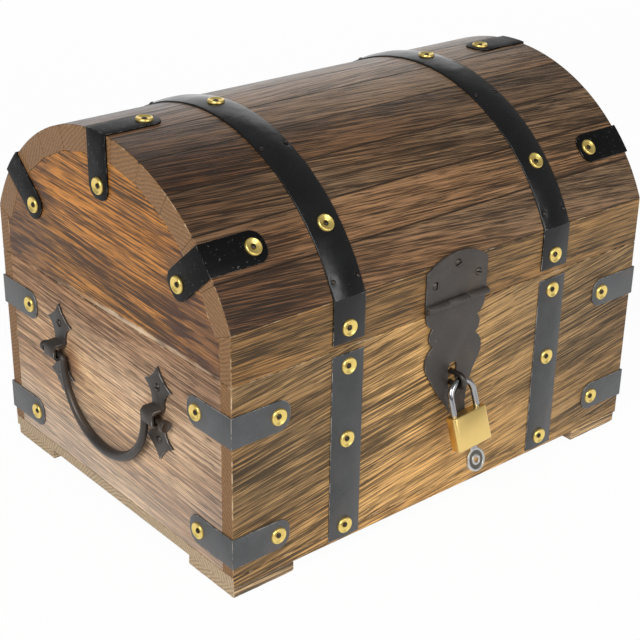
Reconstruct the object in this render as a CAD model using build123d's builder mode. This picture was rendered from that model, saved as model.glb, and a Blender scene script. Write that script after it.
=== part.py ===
from build123d import *
import os
from math import asin, atan, cos, degrees, pi, radians, sin, sqrt, tan

os.makedirs("parts", exist_ok=True)

# A wooden treasure chest with an arched, coopered lid, iron straps and bands, bail handles at both
# ends, and a hasp and staple held by a small brass padlock. All sizes are in millimetres.
# +X runs along the chest to the right, the front faces -Y, and the chest stands on z = 0.

# Chest body
chest_length = 380.0
chest_depth = 277.0
body_height = 146.0
wall = 11.0
base_thickness = 8.0
foot_side = 50.0
foot_height = 10.0
foot_inset = 1.0
foot_chamfer = 2.0

# Lid
seam_gap = 0.3
lid_height = 125.5
lid_board_height = 35.0
lid_board = 11.5
stave_thickness = 17.0
stave_count = 11
stave_chamfer = 0.5
panel_thickness = 12.0

# Iron corner straps, folded round the edges
strap_width = 22.0
strap_thickness = 1.2
strap_reach = 45.5
strap_corner = 9.0
strap_nail_inset = 36.0
upper_strap_drop = 31.0
lower_strap_height = 27.0
lid_strap_share = 0.731

# Iron bands, crowned across their width
band_width = 26.5
band_spacing = 194.0
band_edge = 0.8
body_band_crown = 1.4
lid_band_crown = 2.6
crown_flat_share = 0.33
flat_band = 1.2
band_foot_gap = 2.5
band_seam_gap = 3.8
lid_band_nail_height = 14.0
lid_band_nail_share = 0.724
band_nail_foot = 12.0
band_nail_head = 13.0
band_nail_middle_share = 0.554

# Brass rosettes and the dark nails that hold them
rosette_radius = 6.0
rosette_rim_radius = 4.9
rosette_height = 1.7
rosette_floor = 0.3
rosette_sides = 12
nail_radius = 1.7
nail_height = 0.8
nail_sides = 6
nail_taper = 35.0
tack_offset = 10.0
tack_shares = (-0.935, -0.362, 0.362, 0.935)

# Slotted screws with low, raised heads
screw_radius = 2.9
screw_height = 1.2
screw_taper = 35.0
screw_sides = 12
screw_slot = 0.8
screw_slot_depth = 0.7
screw_slot_turn = 35.0

# Butt hinges on the back
hinge_offset = 55.0
hinge_width = 36.0
hinge_leaf_height = 24.0
hinge_leaf = 1.5
hinge_leaf_corner = 2.0
hinge_barrel_radius = 3.0
hinge_pin_radius = 1.5
hinge_screw_spacing = 22.0
hinge_screw_edge = 8.0
running_clearance = 0.05
knuckle_gap = 0.3
knuckle_count = 3
barrel_sides = 16

# Hasp on the front
hasp_offset = -1.5
hasp_width = 57.0
hasp_leaf = 1.6
hasp_barrel_radius = 2.75
hasp_barrel_height = 6.4
hasp_pin_radius = 1.25
hasp_wood_gap = 0.3
hasp_shoulder_height = 25.6
hasp_plate_height = 35.5
hasp_screw_spread = 40.6
hasp_screw_height = 15.6
hasp_top_screw_height = 27.2
hasp_length = 86.0
hasp_curl_start = 54.0
hasp_slot_width = 8.4
hasp_slot_length = 25.0
hasp_slot_top = 46.5
hasp_lock_gap = 0.4

# Half widths and drops of the slotted leaf's outline, as shares of its half width and its length
tab_share = (0.972, 0.057)
tab_curve_share = (0.905, 0.14)
upper_notch_share = (0.737, 0.185)
bulge_share = (0.842, 0.262)
lower_notch_share = (0.702, 0.348)
belly_share = (0.905, 0.424)
belly_end_share = (0.891, 0.557)
taper_end_share = (0.281, 0.912)

# Flats round a bent rod, and runs in each of its bends
rod_sides = 12
bend_steps = 10

# Staple that the hasp closes over
staple_rod_radius = 1.9
staple_spacing = 8.8
staple_reach = 15.5
staple_depth = 9.0
staple_drop = 58.4

# Padlock, hung from the staple
lock_width = 32.0
lock_height = 24.5
lock_depth = 10.0
lock_corner = 2.5
lock_corner_steps = 3
lock_edge = 0.5
bore_sides = 16
shackle_radius = 2.3
shackle_spacing = 22.0
shackle_drop = 22.5
shackle_long_leg = 15.0
shackle_short_leg = 7.0
shackle_bore_gap = 0.1
shackle_rest_gap = 0.3
lock_lean = 17.0
lock_tilt = 3.0
plug_radius = 4.0
plug_length = 20.0
keyway_width = 6.2
keyway_thickness = 2.2
keyway_gap = 0.1
key_collar = 3.0
key_bow_width = 16.5
key_bow_height = 17.0
key_rim = 1.6
key_pocket = 0.4
key_hole_radius = 2.2
key_sides = 20
key_tip_gap = 1.0
key_cut_depth = 1.6
key_cut_spacing = 4.0
key_cut_count = 3

# Bail handles on the ends
bracket_offset = 10.0
bracket_drop = 50.0
bracket_thickness = 1.8
bracket_tip = 34.5
bracket_point_height = 20.5
bracket_point_reach = 15.3
bracket_waist = 6.6
bracket_waist_height = 9.5
bracket_hollow = 2.0
bracket_hollow_steps = 3
bracket_screw_height = 19.5
loop_reach = 11.4
loop_height = 12.0
loop_corner = 1.3
bail_pin_radius = 1.9
bail_stand_off = 6.0
bail_seat_gap = 0.3
bail_span = 153.0
bail_pin_reach = 25.5
bail_drop = 51.5
bail_elbow = 3.0
bail_elbow_steps = 3
bail_bow_steps = 18
bail_thick_radius = 3.7
bail_thin_radius = 2.6
knob_radius = 4.0
knob_length = 4.0
knob_rim = 0.9
knob_dish = 1.2
knob_taper = 45.0

# Levels, measured from the floor
base_z = foot_height
wall_z = base_z + base_thickness
seam_z = base_z + body_height
lid_z = seam_z + seam_gap
apex_z = seam_z + lid_height
spring_z = seam_z + lid_board_height

# The lock's reach in front and the hinges' reach behind put the origin under the whole object's middle
lock_top_depth = staple_reach - 2 * staple_rod_radius - shackle_radius - shackle_rest_gap
key_reach = shackle_drop + lock_height + key_collar + key_bow_height
front_reach = lock_top_depth + key_reach * sin(radians(lock_lean))
back_reach = 2 * hinge_barrel_radius
centre_y = (front_reach - back_reach) / 2
front_y = centre_y - chest_depth / 2
back_y = centre_y + chest_depth / 2
end_x = chest_length / 2
band_x = band_spacing / 2

# The lid's arch is one circular arc that springs from the tops of the upright lid boards
arch_rise = apex_z - spring_z
arch_radius = ((chest_depth / 2) ** 2 + arch_rise**2) / (2 * arch_rise)
arch_z = apex_z - arch_radius
arch_half_angle = degrees(asin(chest_depth / 2 / arch_radius))
stave_angle = 2 * arch_half_angle / stave_count
lid_strap_angle = lid_strap_share * arch_half_angle
lid_band_nail_angle = lid_band_nail_share * arch_half_angle
spring_slope = 1 / tan(radians(arch_half_angle))
arch_axis = Axis((0, centre_y, arch_z), (1, 0, 0))


def arch_point(angle, radius):
    """A (y, z) point on a circle about the arch's axis, at an angle from the upright."""
    return (centre_y + radius * sin(radians(angle)), arch_z + radius * cos(radians(angle)))


def radial_plane(x, angle, radius):
    """A plane that faces outwards on the arch, with its x along the chest."""
    y, z = arch_point(angle, radius)
    return Plane(origin=(x, y, z), x_dir=(1, 0, 0), z_dir=(0, sin(radians(angle)), cos(radians(angle))))


def front_plane(x, z, depth=0.0):
    """A plane that faces the viewer, at a depth in front of the chest's face."""
    return Plane(origin=(x, front_y - depth, z), x_dir=(1, 0, 0), z_dir=(0, -1, 0))


def back_plane(x, z, depth=0.0):
    """A plane that faces away, at a depth behind the chest's back."""
    return Plane(origin=(x, back_y + depth, z), x_dir=(-1, 0, 0), z_dir=(0, 1, 0))


def end_plane(side, y, z, depth=0.0):
    """A plane that faces outwards, at a depth beyond the left (-1) or right (1) end."""
    return Plane(origin=(side * (end_x + depth), y, z), x_dir=(0, side, 0), z_dir=(side, 0, 0))


def lid_end_plane(side, angle, radius, depth=0.0):
    """A plane beyond an end of the lid, with its x along the arch's tangent."""
    y, z = arch_point(angle, radius)
    tangent = (0, cos(radians(angle)), -sin(radians(angle)))
    return Plane(origin=(side * (end_x + depth), y, z), x_dir=tangent, z_dir=(side, 0, 0))


def section_plane(x):
    """A plane across the chest, with its x towards the back and its y upwards."""
    return Plane(origin=(x, 0, 0), x_dir=(0, 1, 0), z_dir=(1, 0, 0))


def crown_plane(x, side, angle):
    """A plane on a lid band's slope, for the tack on the left (-1) or right (1) of its middle."""
    flat = crown_flat_share * band_width / 2
    fall = (lid_band_crown - band_edge) / (band_width / 2 - flat)
    slope = atan(fall)
    foot = radial_plane(x, angle, arch_radius + lid_band_crown - fall * (tack_offset - flat))
    outward = foot.z_dir * cos(slope) + foot.x_dir * side * sin(slope)
    return Plane(origin=foot.origin + foot.x_dir * side * tack_offset, x_dir=foot.y_dir, z_dir=outward)


def bend_points(middle, radius, start_angle):
    """Points on a half turn about a middle, from an angle in radians, for a bent rod."""
    points = []
    for step in range(bend_steps + 1):
        angle = start_angle - pi * step / bend_steps
        points.append((middle[0] + radius * cos(angle), middle[1] + radius * sin(angle)))
    return points


# Body boards: the base lies under the walls, and the end boards stand between front and back
with BuildPart() as base_board:
    with BuildSketch(Plane.XY.offset(base_z)):
        with Locations((0, centre_y)):
            Rectangle(chest_length, chest_depth)
    extrude(amount=base_thickness)
base_board.part.label = "base_board"
export_step(base_board.part, "parts/base_board.step")

# The staple's two legs are driven into holes in the front board
hasp_z = seam_z + hasp_barrel_height
staple_z = hasp_z - staple_drop
with BuildPart() as front_board:
    with BuildSketch(Plane.XY.offset(wall_z)):
        with Locations((0, front_y + wall / 2)):
            Rectangle(chest_length, wall)
    extrude(amount=seam_z - wall_z)
    with BuildSketch(front_plane(hasp_offset, staple_z)):
        with GridLocations(0, staple_spacing, 1, 2):
            RegularPolygon(staple_rod_radius + running_clearance, rod_sides, major_radius=False)
    extrude(amount=-staple_depth, mode=Mode.SUBTRACT)
front_board.part.label = "front_board"
export_step(front_board.part, "parts/front_board.step")

with BuildPart() as back_board:
    with BuildSketch(Plane.XY.offset(wall_z)):
        with Locations((0, back_y - wall / 2)):
            Rectangle(chest_length, wall)
    extrude(amount=seam_z - wall_z)
back_board.part.label = "back_board"
export_step(back_board.part, "parts/back_board.step")

for board_name, side in (("left_end_board", -1), ("right_end_board", 1)):
    with BuildPart() as end_board:
        with BuildSketch(Plane.XY.offset(wall_z)):
            with Locations((side * (end_x - wall / 2), centre_y)):
                Rectangle(wall, chest_depth - 2 * wall)
        extrude(amount=seam_z - wall_z)
    end_board.part.label = board_name
    export_step(end_board.part, f"parts/{board_name}.step")

# Feet: plain blocks under the corners, with their lower edges knocked off
foot_x = end_x - foot_inset - foot_side / 2
foot_y = chest_depth / 2 - foot_inset - foot_side / 2
for foot_name, side_x, side_y in (
    ("front_left_foot", -1, -1),
    ("front_right_foot", 1, -1),
    ("back_left_foot", -1, 1),
    ("back_right_foot", 1, 1),
):
    with BuildPart() as foot:
        with BuildSketch():
            with Locations((side_x * foot_x, centre_y + side_y * foot_y)):
                Rectangle(foot_side, foot_side)
        extrude(amount=foot_height)
        chamfer(foot.edges().group_by(Axis.Z)[0], foot_chamfer)
    foot.part.label = foot_name
    export_step(foot.part, f"parts/{foot_name}.step")

# Lid boards: upright boards front and back, cut on top to meet the first and last stave
for board_name, face_y, inward in (("lid_front_board", front_y, 1), ("lid_back_board", back_y, -1)):
    inner_y = face_y + inward * lid_board
    with BuildPart() as lid_long_board:
        with BuildSketch(section_plane(-end_x)):
            with BuildLine():
                Polyline(
                    (face_y, lid_z),
                    (inner_y, lid_z),
                    (inner_y, spring_z - lid_board * spring_slope),
                    (face_y, spring_z),
                    close=True,
                )
            make_face()
        extrude(amount=chest_length)
    lid_long_board.part.label = board_name
    export_step(lid_long_board.part, f"parts/{board_name}.step")

# Lid staves: coopered strips with radial joints, flat inside and rounded outside
for index in range(stave_count):
    start = -arch_half_angle + index * stave_angle
    end = start + stave_angle
    outer_start = arch_point(start, arch_radius)
    outer_middle = arch_point(start + stave_angle / 2, arch_radius)
    outer_end = arch_point(end, arch_radius)
    inner_end = arch_point(end, arch_radius - stave_thickness)
    inner_start = arch_point(start, arch_radius - stave_thickness)
    with BuildPart() as stave:
        with BuildSketch(section_plane(-end_x)) as stave_section:
            with BuildLine():
                ThreePointArc(outer_start, outer_middle, outer_end)
                Polyline(outer_end, inner_end, inner_start, outer_start)
            make_face()
            outer_corners = stave_section.vertices().sort_by_distance((-end_x, centre_y, arch_z))[-2:]
            chamfer(outer_corners, stave_chamfer)
        extrude(amount=chest_length)
    stave.part.label = f"lid_stave_{index + 1:02d}"
    export_step(stave.part, f"parts/lid_stave_{index + 1:02d}.step")

# Lid end panels: each fills the rim that the staves and lid boards make, flush with their ends
panel_rim = [(front_y + lid_board, lid_z), (front_y + lid_board, spring_z - lid_board * spring_slope)]
for index in range(stave_count + 1):
    panel_rim.append(arch_point(-arch_half_angle + index * stave_angle, arch_radius - stave_thickness))
panel_rim.append((back_y - lid_board, spring_z - lid_board * spring_slope))
panel_rim.append((back_y - lid_board, lid_z))
for panel_name, start_x in (
    ("left_lid_end_panel", -end_x),
    ("right_lid_end_panel", end_x - panel_thickness),
):
    with BuildPart() as end_panel:
        with BuildSketch(section_plane(start_x)):
            with BuildLine():
                Polyline(*panel_rim, close=True)
            make_face()
        extrude(amount=panel_thickness)
    end_panel.part.label = panel_name
    export_step(end_panel.part, f"parts/{panel_name}.step")

# Thin skins round the body and the lid, from which the folded straps are cut
with BuildPart() as body_skin:
    with BuildSketch(Plane.XY.offset(base_z)):
        with Locations((0, centre_y)):
            Rectangle(chest_length + 2 * strap_thickness, chest_depth + 2 * strap_thickness)
            Rectangle(chest_length, chest_depth, mode=Mode.SUBTRACT)
    extrude(amount=body_height)

with BuildPart() as lid_skin:
    with BuildSketch(section_plane(-end_x - strap_thickness)):
        with Locations((centre_y, arch_z)):
            Circle(arch_radius + strap_thickness)
    extrude(amount=chest_length + 2 * strap_thickness)
    with BuildSketch(section_plane(-end_x)):
        with Locations((centre_y, arch_z)):
            Circle(arch_radius)
    extrude(amount=chest_length, mode=Mode.SUBTRACT)

# Corner straps on the body: a strip folded round each upright corner, at two heights
upper_strap_z = seam_z - upper_strap_drop
lower_strap_z = base_z + lower_strap_height
for strap_name, strap_z in (
    ("upper_corner_straps", upper_strap_z),
    ("lower_corner_straps", lower_strap_z),
):
    with BuildPart() as body_straps:
        for side in (-1, 1):
            for leg_plane in (
                front_plane(side * end_x, strap_z, strap_thickness),
                back_plane(side * end_x, strap_z, strap_thickness),
                end_plane(side, front_y, strap_z, strap_thickness),
                end_plane(side, back_y, strap_z, strap_thickness),
            ):
                with BuildSketch(leg_plane):
                    RectangleRounded(2 * strap_reach, strap_width, strap_corner)
                extrude(amount=-2 * strap_thickness)
        add(body_skin.part, mode=Mode.INTERSECT)
    body_straps.part.label = strap_name
    export_step(body_straps.part, f"parts/{strap_name}.step")

# Corner straps on the lid: three over each end, folded from the arch down onto the end panel
lid_strap_angles = (-lid_strap_angle, 0, lid_strap_angle)
for strap_name, side in (("left_lid_corner_straps", -1), ("right_lid_corner_straps", 1)):
    with BuildPart() as lid_straps:
        for angle in lid_strap_angles:
            with BuildSketch(radial_plane(side * end_x, angle, arch_radius + strap_thickness)):
                RectangleRounded(2 * strap_reach, strap_width, strap_corner)
            extrude(amount=-strap_width / 2)
            with BuildSketch(lid_end_plane(side, angle, arch_radius, strap_thickness)):
                RectangleRounded(strap_width, 2 * strap_reach, strap_corner)
            extrude(amount=-2 * strap_thickness)
        add(lid_skin.part, mode=Mode.INTERSECT)
    lid_straps.part.label = strap_name
    export_step(lid_straps.part, f"parts/{strap_name}.step")


def crowned_section(edge, crown):
    """A band's cross-section, flat below and crowned above, with a flat along its middle."""
    half = band_width / 2
    flat = crown_flat_share * half
    with BuildSketch() as section:
        with BuildLine():
            Polyline(
                (-half, edge),
                (-half, 0),
                (half, 0),
                (half, edge),
                (flat, crown),
                (-flat, crown),
                close=True,
            )
        make_face()
    return section.sketch


body_band_section = crowned_section(band_edge, body_band_crown)
lid_band_section = crowned_section(band_edge, lid_band_crown)


# Bands up the front and the back of the body
band_z = base_z + band_foot_gap
band_top_z = seam_z - band_seam_gap
for band_name, face_y, outward in (("front_body_bands", front_y, -1), ("back_body_bands", back_y, 1)):
    with BuildPart() as body_bands:
        for x in (-band_x, band_x):
            with BuildSketch(Plane(origin=(x, face_y, band_z), x_dir=(outward, 0, 0), z_dir=(0, 0, 1))):
                add(body_band_section)
            extrude(amount=band_top_z - band_z)
    body_bands.part.label = band_name
    export_step(body_bands.part, f"parts/{band_name}.step")

# Bands over the lid: flat up the lid boards, then crowned over the arch
strip_foot = lid_z + band_seam_gap
for band_name, x in (("left_lid_band", -band_x), ("right_lid_band", band_x)):
    with BuildPart() as lid_band:
        for face_y, outward in ((front_y, -1), (back_y, 1)):
            strip_y = face_y + outward * flat_band
            with BuildSketch(section_plane(x - band_width / 2)):
                with BuildLine():
                    Polyline(
                        (face_y, strip_foot),
                        (strip_y, strip_foot),
                        (strip_y, spring_z + flat_band * spring_slope),
                        (face_y, spring_z),
                        close=True,
                    )
                make_face()
            extrude(amount=band_width)
        spring_y, spring_level = arch_point(arch_half_angle, arch_radius)
        outward_tilt = (0, -cos(radians(arch_half_angle)), sin(radians(arch_half_angle)))
        spring_plane = Plane(origin=(x, spring_y, spring_level), x_dir=(1, 0, 0), z_dir=outward_tilt)
        with BuildSketch(spring_plane):
            add(lid_band_section)
        revolve(axis=arch_axis, revolution_arc=2 * arch_half_angle)
    lid_band.part.label = band_name
    export_step(lid_band.part, f"parts/{band_name}.step")

# Places of the rosettes on the body, on its straps and bands
body_rosette_planes = []
for strap_z in (upper_strap_z, lower_strap_z):
    for side in (-1, 1):
        nail_x = side * (end_x - strap_nail_inset)
        body_rosette_planes.append(front_plane(nail_x, strap_z, strap_thickness))
        body_rosette_planes.append(back_plane(nail_x, strap_z, strap_thickness))
        for nail_y in (front_y + strap_nail_inset, back_y - strap_nail_inset):
            body_rosette_planes.append(end_plane(side, nail_y, strap_z, strap_thickness))
lowest_nail_z = base_z + band_nail_foot
highest_nail_z = seam_z - band_nail_head
middle_nail_z = lowest_nail_z + band_nail_middle_share * (highest_nail_z - lowest_nail_z)
for nail_z in (lowest_nail_z, middle_nail_z, highest_nail_z):
    for x in (-band_x, band_x):
        body_rosette_planes.append(front_plane(x, nail_z, body_band_crown))
        body_rosette_planes.append(back_plane(x, nail_z, body_band_crown))

# Places of the rosettes on the lid, on its straps and bands
lid_rosette_planes = []
for side in (-1, 1):
    for angle in lid_strap_angles:
        nail_x = side * (end_x - strap_nail_inset)
        lid_rosette_planes.append(radial_plane(nail_x, angle, arch_radius + strap_thickness))
        nail_depth = arch_radius - strap_nail_inset
        lid_rosette_planes.append(lid_end_plane(side, angle, nail_depth, strap_thickness))
for x in (-band_x, band_x):
    lid_rosette_planes.append(front_plane(x, seam_z + lid_band_nail_height, flat_band))
    lid_rosette_planes.append(back_plane(x, seam_z + lid_band_nail_height, flat_band))
    for angle in (-lid_band_nail_angle, 0, lid_band_nail_angle):
        lid_rosette_planes.append(radial_plane(x, angle, arch_radius + lid_band_crown))

# Small tacks in pairs beside the rosettes of the lid bands
tack_planes = []
for x in (-band_x, band_x):
    for share in tack_shares:
        for side in (-1, 1):
            tack_planes.append(crown_plane(x, side, share * arch_half_angle))

# One rosette: a brass washer that is dished inside its raised rim
with BuildPart() as rosette:
    with BuildSketch():
        RegularPolygon(rosette_radius, rosette_sides)
    with BuildSketch(Plane.XY.offset(rosette_height)):
        RegularPolygon(rosette_rim_radius, rosette_sides)
    loft(ruled=True)
    with BuildSketch(Plane.XY.offset(rosette_height)) as dish_rim:
        RegularPolygon(rosette_rim_radius, rosette_sides)
    loft(sections=[dish_rim.sketch, Vertex(0, 0, rosette_floor)], ruled=True, mode=Mode.SUBTRACT)

# One nail head: forged with flat facets
with BuildPart() as nail:
    with BuildSketch():
        RegularPolygon(nail_radius, nail_sides)
    extrude(amount=nail_height, taper=nail_taper)

# The nail's head sits where the dish is as wide as the head
dish_slope = (rosette_height - rosette_floor) / rosette_rim_radius
head_rise = rosette_floor + nail_radius * dish_slope

with BuildPart() as body_rosettes:
    with Locations(*body_rosette_planes):
        add(rosette.part)
body_rosettes.part.label = "body_rosettes"
export_step(body_rosettes.part, "parts/body_rosettes.step")

with BuildPart() as lid_rosettes:
    with Locations(*lid_rosette_planes):
        add(rosette.part)
lid_rosettes.part.label = "lid_rosettes"
export_step(lid_rosettes.part, "parts/lid_rosettes.step")

with BuildPart() as body_nails:
    with Locations(*[plane.offset(head_rise) for plane in body_rosette_planes]):
        add(nail.part)
body_nails.part.label = "body_nails"
export_step(body_nails.part, "parts/body_nails.step")

with BuildPart() as lid_nails:
    with Locations(*[plane.offset(head_rise) for plane in lid_rosette_planes]):
        add(nail.part)
    with Locations(*tack_planes):
        add(nail.part)
lid_nails.part.label = "lid_nails"
export_step(lid_nails.part, "parts/lid_nails.step")

# One slotted screw head
with BuildPart() as screw:
    with BuildSketch():
        RegularPolygon(screw_radius, screw_sides)
    extrude(amount=screw_height, taper=screw_taper)
    with BuildSketch(Plane.XY.offset(screw_height)):
        Rectangle(2 * screw_radius, screw_slot, rotation=screw_slot_turn)
    extrude(amount=-screw_slot_depth, mode=Mode.SUBTRACT)


def knuckles(middle, width):
    """The start and end of each knuckle of a barrel, with a gap between neighbours."""
    pitch = width / knuckle_count
    spans = []
    for index in range(knuckle_count):
        start = middle - width / 2 + index * pitch
        spans.append((start + knuckle_gap / 2, start + pitch - knuckle_gap / 2))
    return spans


def barrel_plane(x, y, z):
    """A plane across the chest whose origin lies on a barrel's axis."""
    return Plane(origin=(x, y, z), x_dir=(0, 1, 0), z_dir=(1, 0, 0))


# Butt hinges: the body's leaf carries the outer knuckles and the lid's leaf the middle one
hinge_y = back_y + hinge_barrel_radius
hinge_z = seam_z + seam_gap / 2
for leaf_name, upward, own in (("hinge_body_leaves", -1, (0, 2)), ("hinge_lid_leaves", 1, (1,))):
    with BuildPart() as hinge_leaves:
        for middle in (-hinge_offset, hinge_offset):
            leaf_middle = hinge_z + upward * hinge_leaf_height / 2
            with BuildSketch(back_plane(middle, leaf_middle)) as leaf_outline:
                Rectangle(hinge_width, hinge_leaf_height)
                free_corners = leaf_outline.vertices().sort_by(Axis.Z, reverse=upward > 0)[:2]
                fillet(free_corners, hinge_leaf_corner)
            extrude(amount=hinge_leaf)
            for index, (start, end) in enumerate(knuckles(middle, hinge_width)):
                if index not in own:
                    with BuildSketch(barrel_plane(start - knuckle_gap, hinge_y, hinge_z)):
                        Circle(hinge_barrel_radius + knuckle_gap)
                    extrude(amount=end - start + 2 * knuckle_gap, mode=Mode.SUBTRACT)
            for index in own:
                start, end = knuckles(middle, hinge_width)[index]
                with BuildSketch(barrel_plane(start, hinge_y, hinge_z)):
                    RegularPolygon(hinge_barrel_radius, barrel_sides)
                extrude(amount=end - start)
            with BuildSketch(barrel_plane(middle - hinge_width, hinge_y, hinge_z)):
                RegularPolygon(hinge_pin_radius + running_clearance, barrel_sides, major_radius=False)
            extrude(amount=2 * hinge_width, mode=Mode.SUBTRACT)
    hinge_leaves.part.label = leaf_name
    export_step(hinge_leaves.part, f"parts/{leaf_name}.step")

with BuildPart() as hinge_pins:
    for middle in (-hinge_offset, hinge_offset):
        with BuildSketch(barrel_plane(middle - hinge_width / 2, hinge_y, hinge_z)):
            Circle(hinge_pin_radius)
        extrude(amount=hinge_width)
hinge_pins.part.label = "hinge_pins"
export_step(hinge_pins.part, "parts/hinge_pins.step")

hinge_screw_reach = hinge_leaf_height - hinge_screw_edge
for screws_name, screw_z in (
    ("hinge_body_screws", hinge_z - hinge_screw_reach),
    ("hinge_lid_screws", hinge_z + hinge_screw_reach),
):
    screw_planes = []
    for middle in (-hinge_offset, hinge_offset):
        for shift in (-hinge_screw_spacing / 2, hinge_screw_spacing / 2):
            screw_planes.append(back_plane(middle + shift, screw_z, hinge_leaf))
    with BuildPart() as hinge_screws:
        with Locations(*screw_planes):
            add(screw.part)
    hinge_screws.part.label = screws_name
    export_step(hinge_screws.part, f"parts/{screws_name}.step")

# Hasp: the lid's leaf carries the outer knuckles, and the slotted leaf swings on the middle one
hasp_y = front_y - hasp_barrel_radius - hasp_wood_gap
hasp_half = hasp_width / 2
hasp_knuckles = knuckles(hasp_offset, hasp_width)
right_shoulder = (hasp_half, hasp_shoulder_height)
left_shoulder = (-hasp_half, hasp_shoulder_height)
hasp_crown = (0, hasp_plate_height)
with BuildPart() as hasp_lid_leaf:
    with BuildSketch(front_plane(hasp_offset, hasp_z)):
        with BuildLine():
            Polyline(left_shoulder, (-hasp_half, 0), (hasp_half, 0), right_shoulder)
            ThreePointArc(right_shoulder, hasp_crown, left_shoulder)
        make_face()
    extrude(amount=hasp_leaf)
    start, end = hasp_knuckles[1]
    with BuildSketch(barrel_plane(start - knuckle_gap, hasp_y, hasp_z)):
        Circle(hasp_barrel_radius + knuckle_gap)
    extrude(amount=end - start + 2 * knuckle_gap, mode=Mode.SUBTRACT)
    for start, end in (hasp_knuckles[0], hasp_knuckles[2]):
        with BuildSketch(barrel_plane(start, hasp_y, hasp_z)):
            RegularPolygon(hasp_barrel_radius, barrel_sides)
        extrude(amount=end - start)
    with BuildSketch(barrel_plane(hasp_offset - hasp_width, hasp_y, hasp_z)):
        RegularPolygon(hasp_pin_radius + running_clearance, barrel_sides, major_radius=False)
    extrude(amount=2 * hasp_width, mode=Mode.SUBTRACT)
hasp_lid_leaf.part.label = "hasp_lid_leaf"
export_step(hasp_lid_leaf.part, "parts/hasp_lid_leaf.step")

with BuildPart() as hasp_pin:
    with BuildSketch(barrel_plane(hasp_offset - hasp_half, hasp_y, hasp_z)):
        Circle(hasp_pin_radius)
    extrude(amount=hasp_width)
hasp_pin.part.label = "hasp_pin"
export_step(hasp_pin.part, "parts/hasp_pin.step")

with BuildPart() as hasp_screws:
    with Locations(
        front_plane(hasp_offset - hasp_screw_spread / 2, hasp_z + hasp_screw_height, hasp_leaf),
        front_plane(hasp_offset + hasp_screw_spread / 2, hasp_z + hasp_screw_height, hasp_leaf),
        front_plane(hasp_offset, hasp_z + hasp_top_screw_height, hasp_leaf),
    ):
        add(screw.part)
hasp_screws.part.label = "hasp_screws"
export_step(hasp_screws.part, "parts/hasp_screws.step")

# The lock's own frame: its origin is the top of the bow, on the bow's middle line, with x across the
# lock, y up its height and z out of its front. The lock leans forwards and hangs a little askew.
lean = radians(lock_lean)
tilt = radians(lock_tilt)
shackle_z = staple_z - staple_spacing / 2 + staple_rod_radius + shackle_radius + shackle_rest_gap
lock_plane = Plane(
    origin=(hasp_offset, front_y - lock_top_depth, shackle_z),
    x_dir=(cos(tilt), sin(lean) * sin(tilt), cos(lean) * sin(tilt)),
    z_dir=(0, -cos(lean), sin(lean)),
)


def lock_level(drop):
    """A plane square to the lock's height, at a drop below the top of the bow."""
    origin = lock_plane.from_local_coords((0, -drop, 0))
    return Plane(origin=origin, x_dir=lock_plane.x_dir, z_dir=lock_plane.y_dir)


# The tongue of the slotted leaf curls out until its tip clears the lock's leaning back
tip_z = hasp_z - hasp_length
curl_z = hasp_z - hasp_curl_start
leaf_back_y = front_y - hasp_wood_gap
lock_back_y = front_y - lock_top_depth - (shackle_z - tip_z) * tan(lean) + lock_depth / 2 / cos(lean)
curl_reach = leaf_back_y - hasp_leaf - (lock_back_y + hasp_lock_gap)
curl_height = curl_z - tip_z
curl_radius = (curl_reach**2 + curl_height**2) / (2 * curl_reach) + hasp_leaf
curl_angle = degrees(asin(curl_height / (curl_radius - hasp_leaf)))


def leaf_point(share, side=1):
    """A point of the slotted leaf's outline, from its shares of the half width and the length."""
    return (side * share[0] * hasp_half, -share[1] * hasp_length)


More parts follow.
